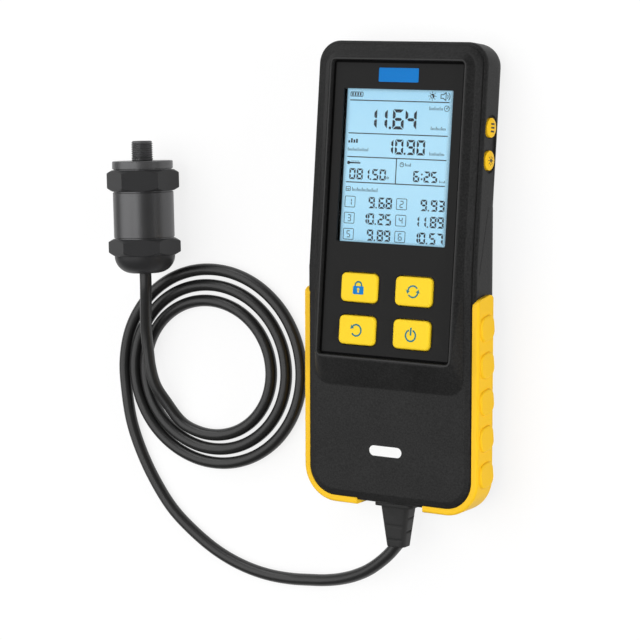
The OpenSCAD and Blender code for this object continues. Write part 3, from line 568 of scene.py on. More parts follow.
# sensor: rings round its own axis, where a ring is a circle or a hexagon cut back by a cone
sensorShape = {
    "hexAcrossFlats": 29.0,
    "hexEdge": 0.35,
    "chamferDepth": 2.4,
    "chamferAngle": 30,
    "chamferRows": (2.2, 14),  # height and number of the rows that follow a chamfer
    "flatRows": (2.6, 5),  # distance from the ends and number of the rows between
    "sleeveDiameter": 28.0,
    "sleeveBore": 8.0,
    "sleeveNeck": (0.5, 0.4),  # length and depth of the groove at each end
    "sleeveRound": (0.85, 0.3),  # distance from the end and radius of the edge beside it
    "capRound": 8.2,
    "capDomeLength": 8.3,
    "capHexLength": 7.7,
    "headHexLength": 9.7,
    "collarLength": 4.1,
    "collarNeck": (0.45, 0.6),  # length and depth of its groove
    "collarFoot": (0.8, 0.3),  # distance and radius of the edge above it
    "collarRound": 0.5,
    "studDiameter": 10.0,
    "studFoot": (0.9, 0.45),  # flat ring round the stud, and the groove at its root
    "threadPitch": 1.0,
    "threadDepth": 0.5,
    "threadRoom": (0.5, 0.25),  # plain lengths below and above the thread
    "threadFade": 0.9,
    "threadRunOut": 0.35,  # share of the depth that is left at the thread's ends
    "threadFlat": 0.12,
    "threadRows": 12,
    "tipCone": (0.8, 0.35),  # length and depth
    "tipInset": 0.85,
    "portDiameter": 3.0,
    "portDepth": 7.0,
    "portChamfer": 0.3,
    "capMiddle": 0.5,  # radius of the small face that closes the cord end
    "portMiddle": 0.2,  # and the bottom of the port
    "step": 0.01,  # between rings where the radius jumps
    "around": 216,
    "sharp": 35,
}
sensorSide = unit(np.cross(sensorAxis, [0.0, 0.0, 1.0]))
sensorTop = np.cross(sensorSide, sensorAxis)


# points from distance along the sensor's axis in millimetres and a radius for every angle
def aroundSensor(along, radius):
    base = sensorPoint - (sensorPoint @ sensorAxis) * sensorAxis
    turn = np.linspace(0, 2 * np.pi, radius.shape[1], endpoint=False)[None, :, None]
    spoke = np.cos(turn) * sensorSide + np.sin(turn) * sensorTop
    return (base + along[:, None, None] * mm * sensorAxis + radius[:, :, None] * mm * spoke).reshape(-1, 3)


# the lesser of two radii with a small round between them
def softLess(a, b, soft):
    blend = np.clip(0.5 + 0.5 * (b - a) / soft, 0, 1)
    return b + (a - b) * blend - soft * blend * (1 - blend)


# chamfered hexagon that rests on a corner: half its width over the cosine of the angle off the nearest flat,
# cut by a cone at each end
def hexRows(start, length, shape):
    sixth = np.pi / 3
    turn = np.linspace(0, 2 * np.pi, shape["around"], endpoint=False)[None, :]
    edge, edgeCount = shape["chamferRows"]
    inner, innerCount = shape["flatRows"]
    level = np.concatenate([np.linspace(0, edge, edgeCount), np.linspace(inner, length - inner, innerCount),
                            np.linspace(length - edge, length, edgeCount)])
    half = shape["hexAcrossFlats"] / 2
    flat = half / np.cos((turn + sixth / 2) % sixth - sixth / 2)
    rise = np.minimum(level, length - level)[:, None] / np.tan(np.radians(shape["chamferAngle"]))
    cone = half / np.cos(sixth / 2) - shape["chamferDepth"] + rise
    return start + level, softLess(flat, cone, shape["hexEdge"])


# circles from (along, radius) pairs
def circleRows(profile, shape):
    profile = np.array(profile, float)
    return profile[:, 0], np.repeat(profile[:, 1:], shape["around"], axis=1)


# quarter round between two ends of a profile, as (along, radius) pairs
def quarter(along, radius, size, start, end, count=7):
    bow = np.radians(np.linspace(start, end, count))
    return np.stack([along + size * np.sin(bow), radius + size * np.cos(bow)], -1).tolist()


# V thread: radius falls from the crest by the depth, as a saw of distance along less the share of a turn
def threadRows(start, end, shape):
    turn = np.linspace(0, 2 * np.pi, shape["around"], endpoint=False)[None, :]
    level = np.arange(start, end, shape["threadPitch"] / shape["threadRows"])
    saw = np.abs(((level[:, None] / shape["threadPitch"] - turn / (2 * np.pi)) % 1) - 0.5) * 2
    crest = np.clip((saw - shape["threadFlat"]) / (1 - 2 * shape["threadFlat"]), 0, 1)
    fade = np.clip(np.minimum(level - start, end - level) / shape["threadFade"], 0, 1)[:, None]
    coneLength, coneDepth = shape["tipCone"]
    top = shape["studDiameter"] / 2 - coneDepth * (1 - np.clip((end - level) / coneLength, 0, 1))[:, None]
    runOut = shape["threadRunOut"]
    return level, top - shape["threadDepth"] * (1 - crest) * (runOut + (1 - runOut) * fade)


# cord end: a flat face, a quarter round out to the full radius, and the lower hexagon
def capRows(low, shape):
    half, size = shape["sleeveDiameter"] / 2, shape["capRound"]
    dome = low + shape["capDomeLength"]
    profile = [(low, shape["capMiddle"]), (low, half - size),
               *quarter(low + size, half - size, size, -90, 0, 14), (dome - shape["step"], half)]
    return [circleRows(profile, shape), hexRows(dome, shape["capHexLength"], shape)]


# sleeve: a straight cylinder with a groove and a small round at each end
def sleeveRows(low, high, shape):
    half, bore = shape["sleeveDiameter"] / 2, shape["sleeveBore"]
    length, depth = shape["sleeveNeck"]
    inset, size = shape["sleeveRound"]
    neck = half - depth
    profile = [(low, bore), (low, neck), (low + length, neck),
               *quarter(low + inset, half - size, size, -90, 0),
               *quarter(high - inset, half - size, size, 0, 90),
               (high - length, neck), (high, neck), (high, bore)]
    return [circleRows(profile, shape)]


# collar, threaded stud and the port down its middle
def headRows(low, tip, shape):
    half, stud, port = (shape[k] / 2 for k in ("sleeveDiameter", "studDiameter", "portDiameter"))
    high, step = low + shape["collarLength"], shape["step"]
    length, depth = shape["collarNeck"]
    footInset, footSize = shape["collarFoot"]
    ring, root = shape["studFoot"]
    below, above = shape["threadRoom"]
    size, chamfer, bottom = shape["collarRound"], shape["portChamfer"], tip - shape["portDepth"]
    collar = [(low + step, half - depth), (low + length, half - depth),
              *quarter(low + footInset, half - footSize, footSize, -90, 0),
              *quarter(high - size, half - size, size, 0, 90),
              (high, stud + ring), (high + step, stud - root)]
    end = [(tip, stud - shape["tipInset"]), (tip, port + chamfer), (tip - chamfer, port), (bottom, port),
           (bottom, shape["portMiddle"])]
    return [circleRows(collar, shape), threadRows(high + below, tip - above, shape), circleRows(end, shape)]


# rows, each a distance along and a radius for every angle, stacked into one closed piece
def turnedPiece(name, rows, material, slotName, shape):
    along = np.concatenate([r[0] for r in rows])
    radius = np.vstack([r[1] for r in rows])
    faces = [f[::-1] for f in ringFaces(len(along), radius.shape[1])]
    return addPiece(name, aroundSensor(along, radius), faces, material, "gauge", slotName, shape["sharp"])


def makeSensor(shape):
    capLow = reach("sensor_cap", sensorAxis)[0] / mm
    sleeveLow, sleeveHigh = (s / mm for s in reach("sensor_sleeve", sensorAxis))
    tip = reach("sensor_head", sensorAxis)[1] / mm
    collar = sleeveHigh + shape["headHexLength"]
    cap = turnedPiece("sensorCap", capRows(capLow, shape), bodySteel, "sensor_body", shape)
    head = turnedPiece("sensorHead", headRows(collar, tip, shape), studSteel, "sensor_body", shape)
    hexagon = [hexRows(sleeveHigh, shape["headHexLength"], shape)]
    headHex = turnedPiece("sensorHex", hexagon, bodySteel, "sensor_body", shape)
    sleeve = turnedPiece("sensorSleeve", sleeveRows(sleeveLow, sleeveHigh, shape), sleeveSteel,
                         "sensor_sleeve", shape)
    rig.replaces(cap, "sensor_cap")
    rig.replaces(head, "sensor_head")
    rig.replaces(sleeve, "sensor_sleeve")
    return [cap, head, headHex, sleeve]


sensorPieces = makeSensor(sensorShape)
onCord = sensorPieces + [nodes[n] for n in ("sensing_cell", "sensor_board", "sensor_seal")]
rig.cord(cordPiece, exit=cordPath[0], length=sensorCord["length"], diameter=sensorCord["diameter"] * mm,
        far_end="fitting", stiffness="limp", lay="loose", path=cordPath, with_pieces=onCord)
print("sensor turned")


# a rounded rectangle as the centres of its corner rounds and the directions out of them
def roundedLoop(width, length, radius, steps=8):
    bow = np.radians(np.linspace(0, 90, steps)[None, :] + 90 * np.arange(4)[:, None])
    outward = np.stack([np.cos(bow), np.sin(bow)], -1)
    sign = np.array([(1, 1), (-1, 1), (-1, -1), (1, -1)])
    middle = sign * np.array([width / 2 - radius, length / 2 - radius])
    return np.repeat(middle, steps, axis=0), outward.reshape(-1, 2)


# points of a flat frame from across, along and up values, in millimetres from a middle in metres
def onHead(flat, height, middle):
    flat = np.asarray(flat, float)
    height = np.broadcast_to(height, flat.shape[:-1])
    return middle + mm * (flat[..., :1] * across + flat[..., 1:] * headAlong + height[..., None] * headUp)


# a node's middle across and along the head, at the height of its highest point
def headMiddle(name):
    wide, along = reach(name, across), reach(name, headAlong)
    return np.mean(wide) * across + np.mean(along) * headAlong + reach(name, headUp)[1] * headUp


# flat print: outlines lifted into thin plates, each with a top, a foot and a wall round it
def printPiece(name, outlines, place, thickness, material, body, slotName):
    points, faces, start = [], [], 0
    for outline in outlines:
        outline = np.asarray(outline, float)
        ahead = np.roll(outline, -1, axis=0)
        area = np.sum(outline[:, 0] * ahead[:, 1] - outline[:, 1] * ahead[:, 0])
        outline = outline if area > 0 else outline[::-1]
        count = len(outline)
        points += [place(outline, 0.0), place(outline, thickness)]
        ring = np.arange(count)
        nextOne = (ring + 1) % count
        wall = start + np.stack([ring, nextOne, nextOne + count, ring + count], -1)
        faces += wall.tolist() + [(start + ring[::-1]).tolist(), (start + count + ring).tolist()]
        start += 2 * count
    return addPiece(name, np.vstack(points), faces, material, body, slotName)


# shapes for prints, as outlines in millimetres
def box(x0, y0, x1, y1):
    return np.array([(x0, y0), (x1, y0), (x1, y1), (x0, y1)])


# a rectangle about the middle, with round corners
def roundedBox(width, length, radius, steps):
    centre, outward = roundedLoop(width, length, radius, steps)
    return centre + radius * outward


# points round a circle
def disc(x, y, radius, count=24):
    bow = np.linspace(0, 2 * np.pi, count, endpoint=False)
    return np.stack([x + radius * np.cos(bow), y + radius * np.sin(bow)], -1)


# part of a ring between two angles in degrees
def arcBand(x, y, outer, inner, start, end, count=28):
    bow = np.radians(np.linspace(start, end, count))
    spoke = np.stack([np.cos(bow), np.sin(bow)], -1)
    return np.vstack([outer * spoke, inner * spoke[::-1]]) + (x, y)


def ringBands(x, y, outer, inner):
    return [arcBand(x, y, outer, inner, 0, 180), arcBand(x, y, outer, inner, 180, 360)]


# a straight stroke between two points, half its width to each side
def bar(x0, y0, x1, y1, width):
    start, end = np.array([x0, y0], float), np.array([x1, y1], float)
    way = (end - start) / np.linalg.norm(end - start)
    off = np.array([-way[1], way[0]]) * width / 2
    return np.array([start - off, end - off, end + off, start + off])


# eight bars round a point, between two radii
def rays(x, y, inner, outer, width):
    bow = np.radians(np.arange(0, 360, 45))
    return [bar(x + inner * c, y + inner * s, x + outer * c, y + outer * s, width)
            for c, s in zip(np.cos(bow), np.sin(bow))]


# rounded frame as two halves of a band between two rounded rectangles
def softFrame(x, y, width, length, radius, line):
    centre, outward = roundedLoop(width, length, radius, 5)
    outer = centre + radius * outward + (x + width / 2, y + length / 2)
    inner = centre + (radius - line) * outward + (x + width / 2, y + length / 2)
    half = len(outer) // 2
    turns = [np.arange(half + 1), np.arange(half, 2 * half + 1) % (2 * half)]
    return [np.vstack([outer[t], inner[t[::-1]]]) for t in turns]


# arrowhead on a circle at an angle, pointing the way that sign turns
def arrowHead(x, y, radius, angle, sign, size):
    bow = np.radians(angle)
    out, way = np.array([np.cos(bow), np.sin(bow)]), sign * np.array([-np.sin(bow), np.cos(bow)])
    base = np.array([x, y]) + radius * out
    halfWidth, length = 0.8 * size, 1.25 * size
    return np.array([base + halfWidth * out, base - halfWidth * out, base + length * way])


def lockSymbol():
    return [roundedBox(5.3, 3.6, 0.5, 5) + (0, -1.1)]


def shackleSymbol():
    return [arcBand(0, 1.0, 1.95, 1.2, 0, 180), box(-1.95, 0.7, -1.2, 1.0), box(1.2, 0.7, 1.95, 1.0)]


def keyholeSymbol():
    return [disc(0, -0.7, 0.62), np.array([(-0.28, -0.9), (-0.45, -2.1), (0.45, -2.1), (0.28, -0.9)])]


def cycleSymbol():
    return [arcBand(0, 0, 2.8, 2.1, 34, 170), arcBand(0, 0, 2.8, 2.1, 214, 350),
            arrowHead(0, 0, 2.45, 170, 1, 1.2), arrowHead(0, 0, 2.45, 350, 1, 1.2)]


def backSymbol():
    return [arcBand(0, 0, 2.8, 2.05, -145, 140), arrowHead(0, 0, 2.42, 138, 1, 1.3)]


def powerSymbol():
    return [arcBand(0, -0.3, 2.8, 2.05, 112, 428), box(-0.4, -0.3, 0.4, 3.1)]


printThickness = 0.05
keyShape = {
    "skirt": 1.2,
    "skirtHeight": 0.8,
    "rise": 4.5,
    "cornerRadius": 2.4,
    "edgeRound": 0.95,
    "edgeSteps": 9,
    "draft": 0.12,
    "crown": 0.16,
    "crownRings": (0.12, 0.3, 0.5, 0.7, 0.86, 0.97),  # shares of the way from the edge to the middle
    "sharp": 50,
    "printSink": 0.03,
    # name, outlines, ink and thickness of each symbol
    "symbols": {
        "key_lock": [("lock", lockSymbol(), lockBlue, printThickness),
                     ("shackle", shackleSymbol(), symbolBlue, printThickness),
                     ("keyhole", keyholeSymbol(), keyRubber, 1.5 * printThickness)],
        "key_cycle": [("cycle", cycleSymbol(), symbolBlue, printThickness)],
        "key_back": [("back", backSymbol(), symbolBlue, printThickness)],
        "key_power": [("power", powerSymbol(), symbolBlue, printThickness)],
    },
}


# key cap: a rounded rectangle carried up a profile of insets and heights, closed by a low crown
def makeKey(node, middle, shape):
    skirt, rise, corner = shape["skirt"], shape["rise"], shape["cornerRadius"]
    edge, crown = shape["edgeRound"], shape["crown"]
    width, length = (np.ptp(reach(node, way)) / mm - 2 * skirt for way in (across, headAlong))
    centre, outward = roundedLoop(width, length, corner)
    bow = np.radians(np.linspace(0, 90, shape["edgeSteps"]))
    inset = np.concatenate([[-skirt, -skirt, 0], shape["draft"] + edge * (1 - np.cos(bow))])
    height = np.concatenate([[-rise - shape["skirtHeight"], -rise, -rise], edge * (np.sin(bow) - 1) - crown])
    rings = centre[None] + (corner - inset)[:, None, None] * outward[None]
    left = 1 - np.array(shape["crownRings"])
    flat = np.vstack([rings, rings[-1][None] * left[:, None, None]])
    height = np.concatenate([height, -crown * left**2])
    points = onHead(flat, height[:, None], middle).reshape(-1, 3)
    faces = ringFaces(len(flat), flat.shape[1])
    cap = addPiece(node.replace("key_", "keyCap."), points, faces, keyRubber, node, "keys", shape["sharp"])
    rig.replaces(cap, node)


def makeKeys(shape):
    for node, symbols in shape["symbols"].items():
        middle = headMiddle(node)
        makeKey(node, middle, shape)

        def place(flat, height):
            return onHead(flat, height - shape["printSink"], middle)

        for name, outlines, ink, thickness in symbols:
            printPiece("symbol." + name, outlines, place, thickness, ink, node, "keys")


makeKeys(keyShape)
print("keys made")


# seven strokes of a digit in a box of width, height and stroke, as outlines with small gaps between them
def digitStrokes(width, height, stroke, gap):
    w, h, t, g = width, height, stroke, gap
    m, s = h / 2, t / 2
    left = np.array([(0, m + g), (s, m + g), (t, m + s + g), (t, h - t - g), (0, h - g)])
    top = np.array([(g, h), (t + g, h - t), (w - t - g, h - t), (w - g, h)])
    middle = np.array([(s + g, m), (t + g, m + s), (w - t - g, m + s), (w - s - g, m), (w - t - g, m - s),
                       (t + g, m - s)])
    flipX, flipY = np.array([(-1, 1)]), np.array([(1, -1)])
    upperRight, lowerLeft = left * flipX + (w, 0), left * flipY + (0, h)
    return {"a": top, "b": upperRight, "c": lowerLeft * flipX + (w, 0), "d": top * flipY + (0, h),
            "e": lowerLeft, "f": left, "g": middle}


litStrokes = {"0": "abcdef", "1": "bc", "2": "abged", "3": "abgcd", "4": "fgbc", "5": "afgcd", "6": "afgcde",
              "7": "abc", "8": "abcdefg", "9": "abcdfg"}

displayFace = {
    "litInset": 1.1,
    # wider on the left, where the border also paints the shade of the window's left wall
    "litInsetLeft": 1.75,
    "borderWidth": 2.4,
    "borderThickness": 0.3,
    "lift": 0.01,
    "gap": (0.06, 0.16),  # between strokes: a fixed part, and a share of the stroke
    "rules": [28.2, 13.9, 3.65, -7.35],
    "ruleEnds": (-24.9, 24.0),
    "ruleWidth": 0.46,
    "divider": -0.25,
    # digits, left edge of each one, foot, width, height, stroke
    "main": ("1164", (-16.55, -11.35, -3.25, 3.0), 16.1, 5.5, 8.6, 1.34),
    "mean": ("1090", (-6.3, -1.35, 4.35, 9.3), 5.35, 4.05, 6.45, 1.04),
    "heat": ("08150", (-23.45, -19.75, -16.5, -11.95, -8.25), -6.1, 3.1, 4.75, 0.82),
    "clock": ("625", (8.35, 13.5, 17.0), -6.1, 3.05, 4.75, 0.82),
    # middle and half width of each point
    "dots": [(-4.4, 16.65, 0.55), (3.55, 5.8, 0.43), (-12.7, -5.75, 0.34), (12.55, -2.75, 0.36),
             (12.55, -4.75, 0.36)],
    "cells": ["968", "993", "1025", "1189", "989", "1057"],
    "cellFeet": (-18.3, -25.35, -32.35),
    "cellSize": (3.1, 4.85, 0.84),
    "cellLefts": (-16.4, -13.0, -8.0, -4.45),
    "cellDot": (-9.1, 0.32),  # place and half width
    "cellShift": 25.75,
    "boxCorner": (-25.0, -0.05, 5.3, 4.95),  # corner against the foot, width and height
    "boxRound": 0.6,
    "boxLine": 0.28,
    "boxNumber": (1.75, 0.9, 1.8, 3.0, 0.36),  # left edge, foot, width, height, stroke
    # middle or lower left corner of each small sign
    "signs": {"battery": (-24.9, 29.75), "lamp": (15.6, 30.75), "speaker": (19.75, 30.7),
              "dial": (22.9, 25.6), "bars": (-24.8, 9.7), "thermometer": (-24.1, 1.05), "watch": (2.5, 1.05),
              "degree": (-4.2, -4.9), "piston": (-24.8, -11.3)},
    # start, end, foot and height of each row of scale marks
    "scales": [(14.5, 21.2, 24.8, 1.5), (15.7, 22.6, 16.3, 1.5), (15.7, 22.6, 5.5, 1.5),
               (-24.8, -14.8, 6.2, 1.5), (4.2, 7.1, 0.4, 1.4), (21.2, 23.8, -6.0, 1.0),
               (-21.6, -8.6, -11.2, 1.6)],
}


# the lit strokes of every digit, moved to its left edge and foot
def textStrokes(text, lefts, foot, width, height, stroke, face):
    base, share = face["gap"]
    strokes = digitStrokes(width, height, stroke, base + share * stroke)
    return [strokes[k] + (left, foot) for digit, left in zip(text, lefts) for k in litStrokes[digit]]


# readings of the six cylinders, each with its number in a frame
def cellOutlines(face):
    found = []
    x, y, wide, tall = face["boxCorner"]
    dot, dotHalf = face["cellDot"]
    numberLeft, numberFoot, *numberSize = face["boxNumber"]
    for i, text in enumerate(face["cells"]):
        shift, foot = face["cellShift"] * (i % 2), face["cellFeet"][i // 2]
        lefts = [left + shift for left in face["cellLefts"][4 - len(text):]]
        found += textStrokes(text, lefts, foot, *face["cellSize"], face)
        found.append(box(dot + shift - dotHalf, foot, dot + shift + dotHalf, foot + 2 * dotHalf))
        found += softFrame(x + shift, foot + y, wide, tall, face["boxRound"], face["boxLine"])
        found += textStrokes(str(i + 1), [x + shift + numberLeft], foot + numberFoot, *numberSize, face)
    return found


# row of fine scale marks, every fourth one taller
def tickRow(x0, x1, foot, tall, pitch=0.62, width=0.26, short=0.62):
    marks = np.arange(x0, x1, pitch)
    return [box(x, foot, x + width, foot + (tall if i % 4 == 0 else short * tall))
            for i, x in enumerate(marks)]


# small signs, each drawn from its own middle or corner

def batterySign(x, y):
    return softFrame(x, y, 6.4, 2.1, 0.45, 0.34) + [
        box(x + step, y + 0.45, x + step + 0.72, y + 1.65) for step in (0.8, 2.1, 3.4, 4.7)]


def lampSign(x, y):
    return [*ringBands(x, y, 1.05, 0.7), arcBand(x, y, 0.72, 0.0, -60, 120, 12),
            *rays(x, y, 1.35, 1.95, 0.28)]


def speakerSign(x, y):
    strokes = [(0, -0.85, 0, 0.85), (-0.15, 0.75, 1.15, 0.75), (-0.15, -0.75, 1.15, -0.75),
               (1.05, 0.7, 2.55, 1.75), (1.05, -0.7, 2.55, -1.75), (2.45, -1.8, 2.45, 1.8)]
    waves = [arcBand(x + 2.35, y, outer, outer - 0.32, -50, 50, 12) for outer in (1.25, 2.15)]
    return [bar(x + x0, y + y0, x + x1, y + y1, 0.34) for x0, y0, x1, y1 in strokes] + waves


def dialSign(x, y):
    return [*ringBands(x, y, 1.3, 1.04), bar(x, y, x + 0.7, y + 0.7, 0.28), disc(x, y, 0.32, 12)]


def barsSign(x, y):
    return [box(x + 1.3 * i, y, x + 1.3 * i + 0.85, y + tall) for i, tall in enumerate((1.0, 1.9, 1.4, 1.7))]


def thermometerSign(x, y):
    return [disc(x, y, 0.75, 18), box(x + 0.5, y - 0.3, x + 5.9, y + 0.3)] + [
        box(x + step, y + 0.5, x + step + 0.26, y + 0.95) for step in np.arange(1.5, 5.7, 0.85)]


def watchSign(x, y):
    return [*ringBands(x, y, 1.05, 0.78), bar(x, y - 0.05, x, y + 0.7, 0.24),
            bar(x - 0.05, y, x + 0.55, y, 0.24)]


def degreeSign(x, y):
    return ringBands(x, y, 0.55, 0.3)


def pistonSign(x, y):
    return [*softFrame(x, y, 2.4, 2.0, 0.3, 0.26), box(x + 0.3, y + 0.8, x + 2.1, y + 1.05),
            box(x + 1.05, y + 0.3, x + 1.35, y + 0.8)]


signDrawings = {"battery": batterySign, "lamp": lampSign, "speaker": speakerSign, "dial": dialSign,
                "bars": barsSign, "thermometer": thermometerSign, "watch": watchSign, "degree": degreeSign,
                "piston": pistonSign}


# border, rules, digits, cell readings and signs, all in the plane of the display's glass
def makeDisplay(face):
    middle = headMiddle("lcd_cell")
    wide, tall = (np.ptp(reach("display_window", way)) / mm / 2 - face["litInset"]
                  for way in (across, headAlong))
    outerWide, outerTall = wide + face["borderWidth"], tall + face["borderWidth"]
    # on the left the dark border reaches further in, as painted shade of the window's left wall
    left = wide + face["litInset"] - face["litInsetLeft"]

    def place(flat, height):
        return onHead(flat, height + face["lift"], middle)

    def ink(name, outlines):
        printPiece(name, outlines, place, printThickness, segmentInk, "gauge", "display")

    border = [box(-outerWide, tall, outerWide, outerTall), box(-outerWide, -outerTall, outerWide, -tall),
              box(-outerWide, -tall, -left, tall), box(wide, -tall, outerWide, tall)]
    printPiece("displayBorder", border, place, face["borderThickness"], borderInk, "gauge", "panel")
    start, end = face["ruleEnds"]
    line, divider = face["ruleWidth"] / 2, face["divider"]
    rules = [box(start, y - line, end, y + line) for y in face["rules"]]
    rules.append(box(divider - line, face["rules"][3] + line, divider + line, face["rules"][2] - line))
    ink("displayRules", rules)
    digits = [s for k in ("main", "mean", "heat", "clock") for s in textStrokes(*face[k], face)]
    ink("displayDigits", digits + [box(x - r, y - r, x + r, y + r) for x, y, r in face["dots"]])
    ink("displayCells", cellOutlines(face))
    signs = [s for name, spot in face["signs"].items() for s in signDrawings[name](*spot)]
    ink("displaySigns", signs + [mark for scale in face["scales"] for mark in tickRow(*scale)])
    return middle


displayMiddle = makeDisplay(displayFace)

# pale blue glow of the display, a little dimmer toward its ends, with painted shade of the window's frame along its
# edges
displayGlow = {
    "middle": (178, 223, 244),
    "ends": (164, 213, 238),
    # colour of the painted shade that the window's frame casts along the edges
    "edge": (112, 144, 162),
    "strength": 0.86,
    "half": 36 * mm,
    "shift": -0.6 * mm,
    "edgeHalf": (26.0 * mm, 33.5 * mm),
    "edgeFade": (2.2 * mm, 1.8 * mm),
    "edgePower": 1.6,
    "cloudScale": 60.0,
    "cloudShare": 0.25,
    "base": (60, 80, 90),
    "roughness": 0.5,
    "specular": 0.2,
}


# the ends' share is the square of the distance along, and the share of the painted frame shade rises over its fade
# toward the edges
def makeGlow(look, middle):
    material, tree, shader = newMaterial("displayGlow")
    place = addNode(tree, "ShaderNodeTexCoord")

    def distance(way, centre):
        offset = mathNode(tree, "SUBTRACT", alongNode(tree, place, tuple(way)), float(centre))
        return mathNode(tree, "ABSOLUTE", offset)

    aside, away = distance(across, look["shift"]), distance(headAlong, middle @ headAlong)
    cloud = addNode(tree, "ShaderNodeTexNoise", Scale=look["cloudScale"], Detail=2.0)
    wire(tree, place.outputs["Object"], cloud.inputs["Vector"])
    share = mathNode(tree, "ADD", mathNode(tree, "POWER", mathNode(tree, "DIVIDE", away, look["half"]), 2.0),
                     mathNode(tree, "MULTIPLY", cloud.outputs[0], look["cloudShare"]))
    tint = mixNode(tree, share, linear(*look["middle"]), linear(*look["ends"]))
    # painted shade of the window's frame: none away from the edges, full at them
    nearness = [mathNode(tree, "DIVIDE", mathNode(tree, "SUBTRACT", way, half - fade), fade)
                for way, half, fade in zip((aside, away), look["edgeHalf"], look["edgeFade"])]
    nearest = mathNode(tree, "MAXIMUM", mathNode(tree, "MAXIMUM", *nearness), 0.0)
    shade = mathNode(tree, "POWER", mathNode(tree, "MINIMUM", nearest, 1.0), look["edgePower"])
    wire(tree, mixNode(tree, shade, tint, linear(*look["edge"])), shader.inputs["Emission Color"])
    shader.inputs["Emission Strength"].default_value = look["strength"]
    shader.inputs["Base Color"].default_value = linear(*look["base"])
    shader.inputs["Roughness"].default_value = look["roughness"]
    shader.inputs["Specular IOR Level"].default_value = look["specular"]
    return material


litGlass = makeGlow(displayGlow, displayMiddle)
print("display drawn")


# symbols on the domes of the side buttons: three bars, and a lamp with rays
sideSymbols = {
    "domeRadius": 14.0,
    "printSink": 0.02,
    # each bar is a run of short boxes, so that it follows the dome
    "side_button_upper": [box(x, y, x + 0.75, y + 0.36) for x in (-1.95, -0.37, 1.2)
                          for y in np.arange(-1.44, 1.3, 0.36)],
    "side_button_lower": [disc(0, 0, 0.85, 20), *rays(0, 0, 1.3, 2.1, 0.42)],
}


def makeSideSymbols(look):
    radius = look["domeRadius"]
    for node in ("side_button_upper", "side_button_lower"):
        tip = reach(node, across)[1]
        middle = np.mean(reach(node, headAlong)) * headAlong + np.mean(reach(node, headUp)) * headUp

        # the dome falls away from its tip by its radius less the height of the sphere there
        def place(flat, height):
            sag = radius - np.sqrt(radius**2 - np.sum(flat**2, axis=1, keepdims=True))
            lift = tip + (height - look["printSink"] - sag) * mm
            return middle + mm * (flat[:, :1] * headAlong + flat[:, 1:] * headUp) + lift * across

        name = node.replace("side_button_", "sideSymbol.")
        printPiece(name, look[node], place, printThickness, symbolDark, node, "side_buttons")


makeSideSymbols(sideSymbols)
print("side buttons marked")


# painted shadow in the gap round the panel, painted highlight as a lighter, glossier line on the ridge, plain blue
# strip, and bare white plate on the handle
facePlates = {
    "sink": 0.01,
    # painted shadow in the gap round the panel
    "seam": {"cornerRadius": 1.2, "line": 0.8, "thickness": 0.05, "outside": 0.0, "above": 0.0},
    # painted highlight along the ridge's edge, lighter and glossier than the case
    "ridge": {"cornerRadius": 2.35, "line": 0.5, "thickness": 0.03, "outside": 1.15, "above": 2.0},
    # width, length, corner radius and steps of each corner
    "strip": {"box": (19.5, 6.05, 0.5, 5), "drop": 5.8, "thickness": 0.16},
    "plate": {"box": (16.0, 4.5, 2.24, 12), "across": -1.3, "along": -78.9, "thickness": 0.06},
    "handleFrom": -60,  # the handle's flat face starts here, along the part
}


# bands round the panel, each at its own height above the panel's face
def makeFrames(look):
    middle = headMiddle("face_panel")
    wide, tall = (np.ptp(reach("face_panel", way)) / mm for way in (across, headAlong))
    # a dark band on the panel's edge as painted shadow of its gap, and a band on the ridge as painted highlight
    for name, key, material, slotName in (("panelSeam", "seam", seamShade, "panel"),
                                          ("ridgeLine", "ridge", ridgePolish, "case")):
        size = look[key]
        outside = size["outside"]

        def place(flat, height):
            return onHead(flat, size["above"] + height - look["sink"], middle)

        loop = softFrame(-wide / 2 - outside, -tall / 2 - outside, wide + 2 * outside, tall + 2 * outside,
                         size["cornerRadius"], size["line"])
        printPiece(name, loop, place, size["thickness"], material, "gauge", slotName)


# a strip below the panel's upper edge
def makeStrip(look):
    size = look["strip"]
    middle = headMiddle("face_panel")
    top = reach("face_panel", headAlong)[1] - size["drop"] * mm
    middle = middle + (top - middle @ headAlong) * headAlong

    def place(flat, height):
        return onHead(flat, height - look["sink"], middle)

    outline = roundedBox(*size["box"])
    printPiece("topStrip", [outline], place, size["thickness"], patchBlue, "gauge", "panel")


# a plate in the plane of the handle's face, placed from the bend line
def makePlate(look):
    size = look["plate"]
    cover = corners("front_cover")
    level = (cover[cover[:, 1] < look["handleFrom"] * mm] @ handleUp).max()
    # the bend line, where the planes of the head's face and the handle's face meet
    panelLevel = reach("face_panel", headUp)[1]
    crossing = np.linalg.solve(np.array([headUp[1:], handleUp[1:]]), np.array([panelLevel, level]))
    middle = size["across"] * mm * across + (size["along"] * mm + crossing @ handleAlong[1:]) * handleAlong

    def place(flat, height):
        lift = (level + (height - look["sink"]) * mm) * handleUp
        return middle + mm * (flat[:, :1] * across + flat[:, 1:] * handleAlong) + lift

    outline = roundedBox(*size["box"])
    printPiece("barePlate", [outline], place, size["thickness"], printWhite, "gauge", "case")


makeFrames(facePlates)
makeStrip(facePlates)
makePlate(facePlates)
print("plates set")


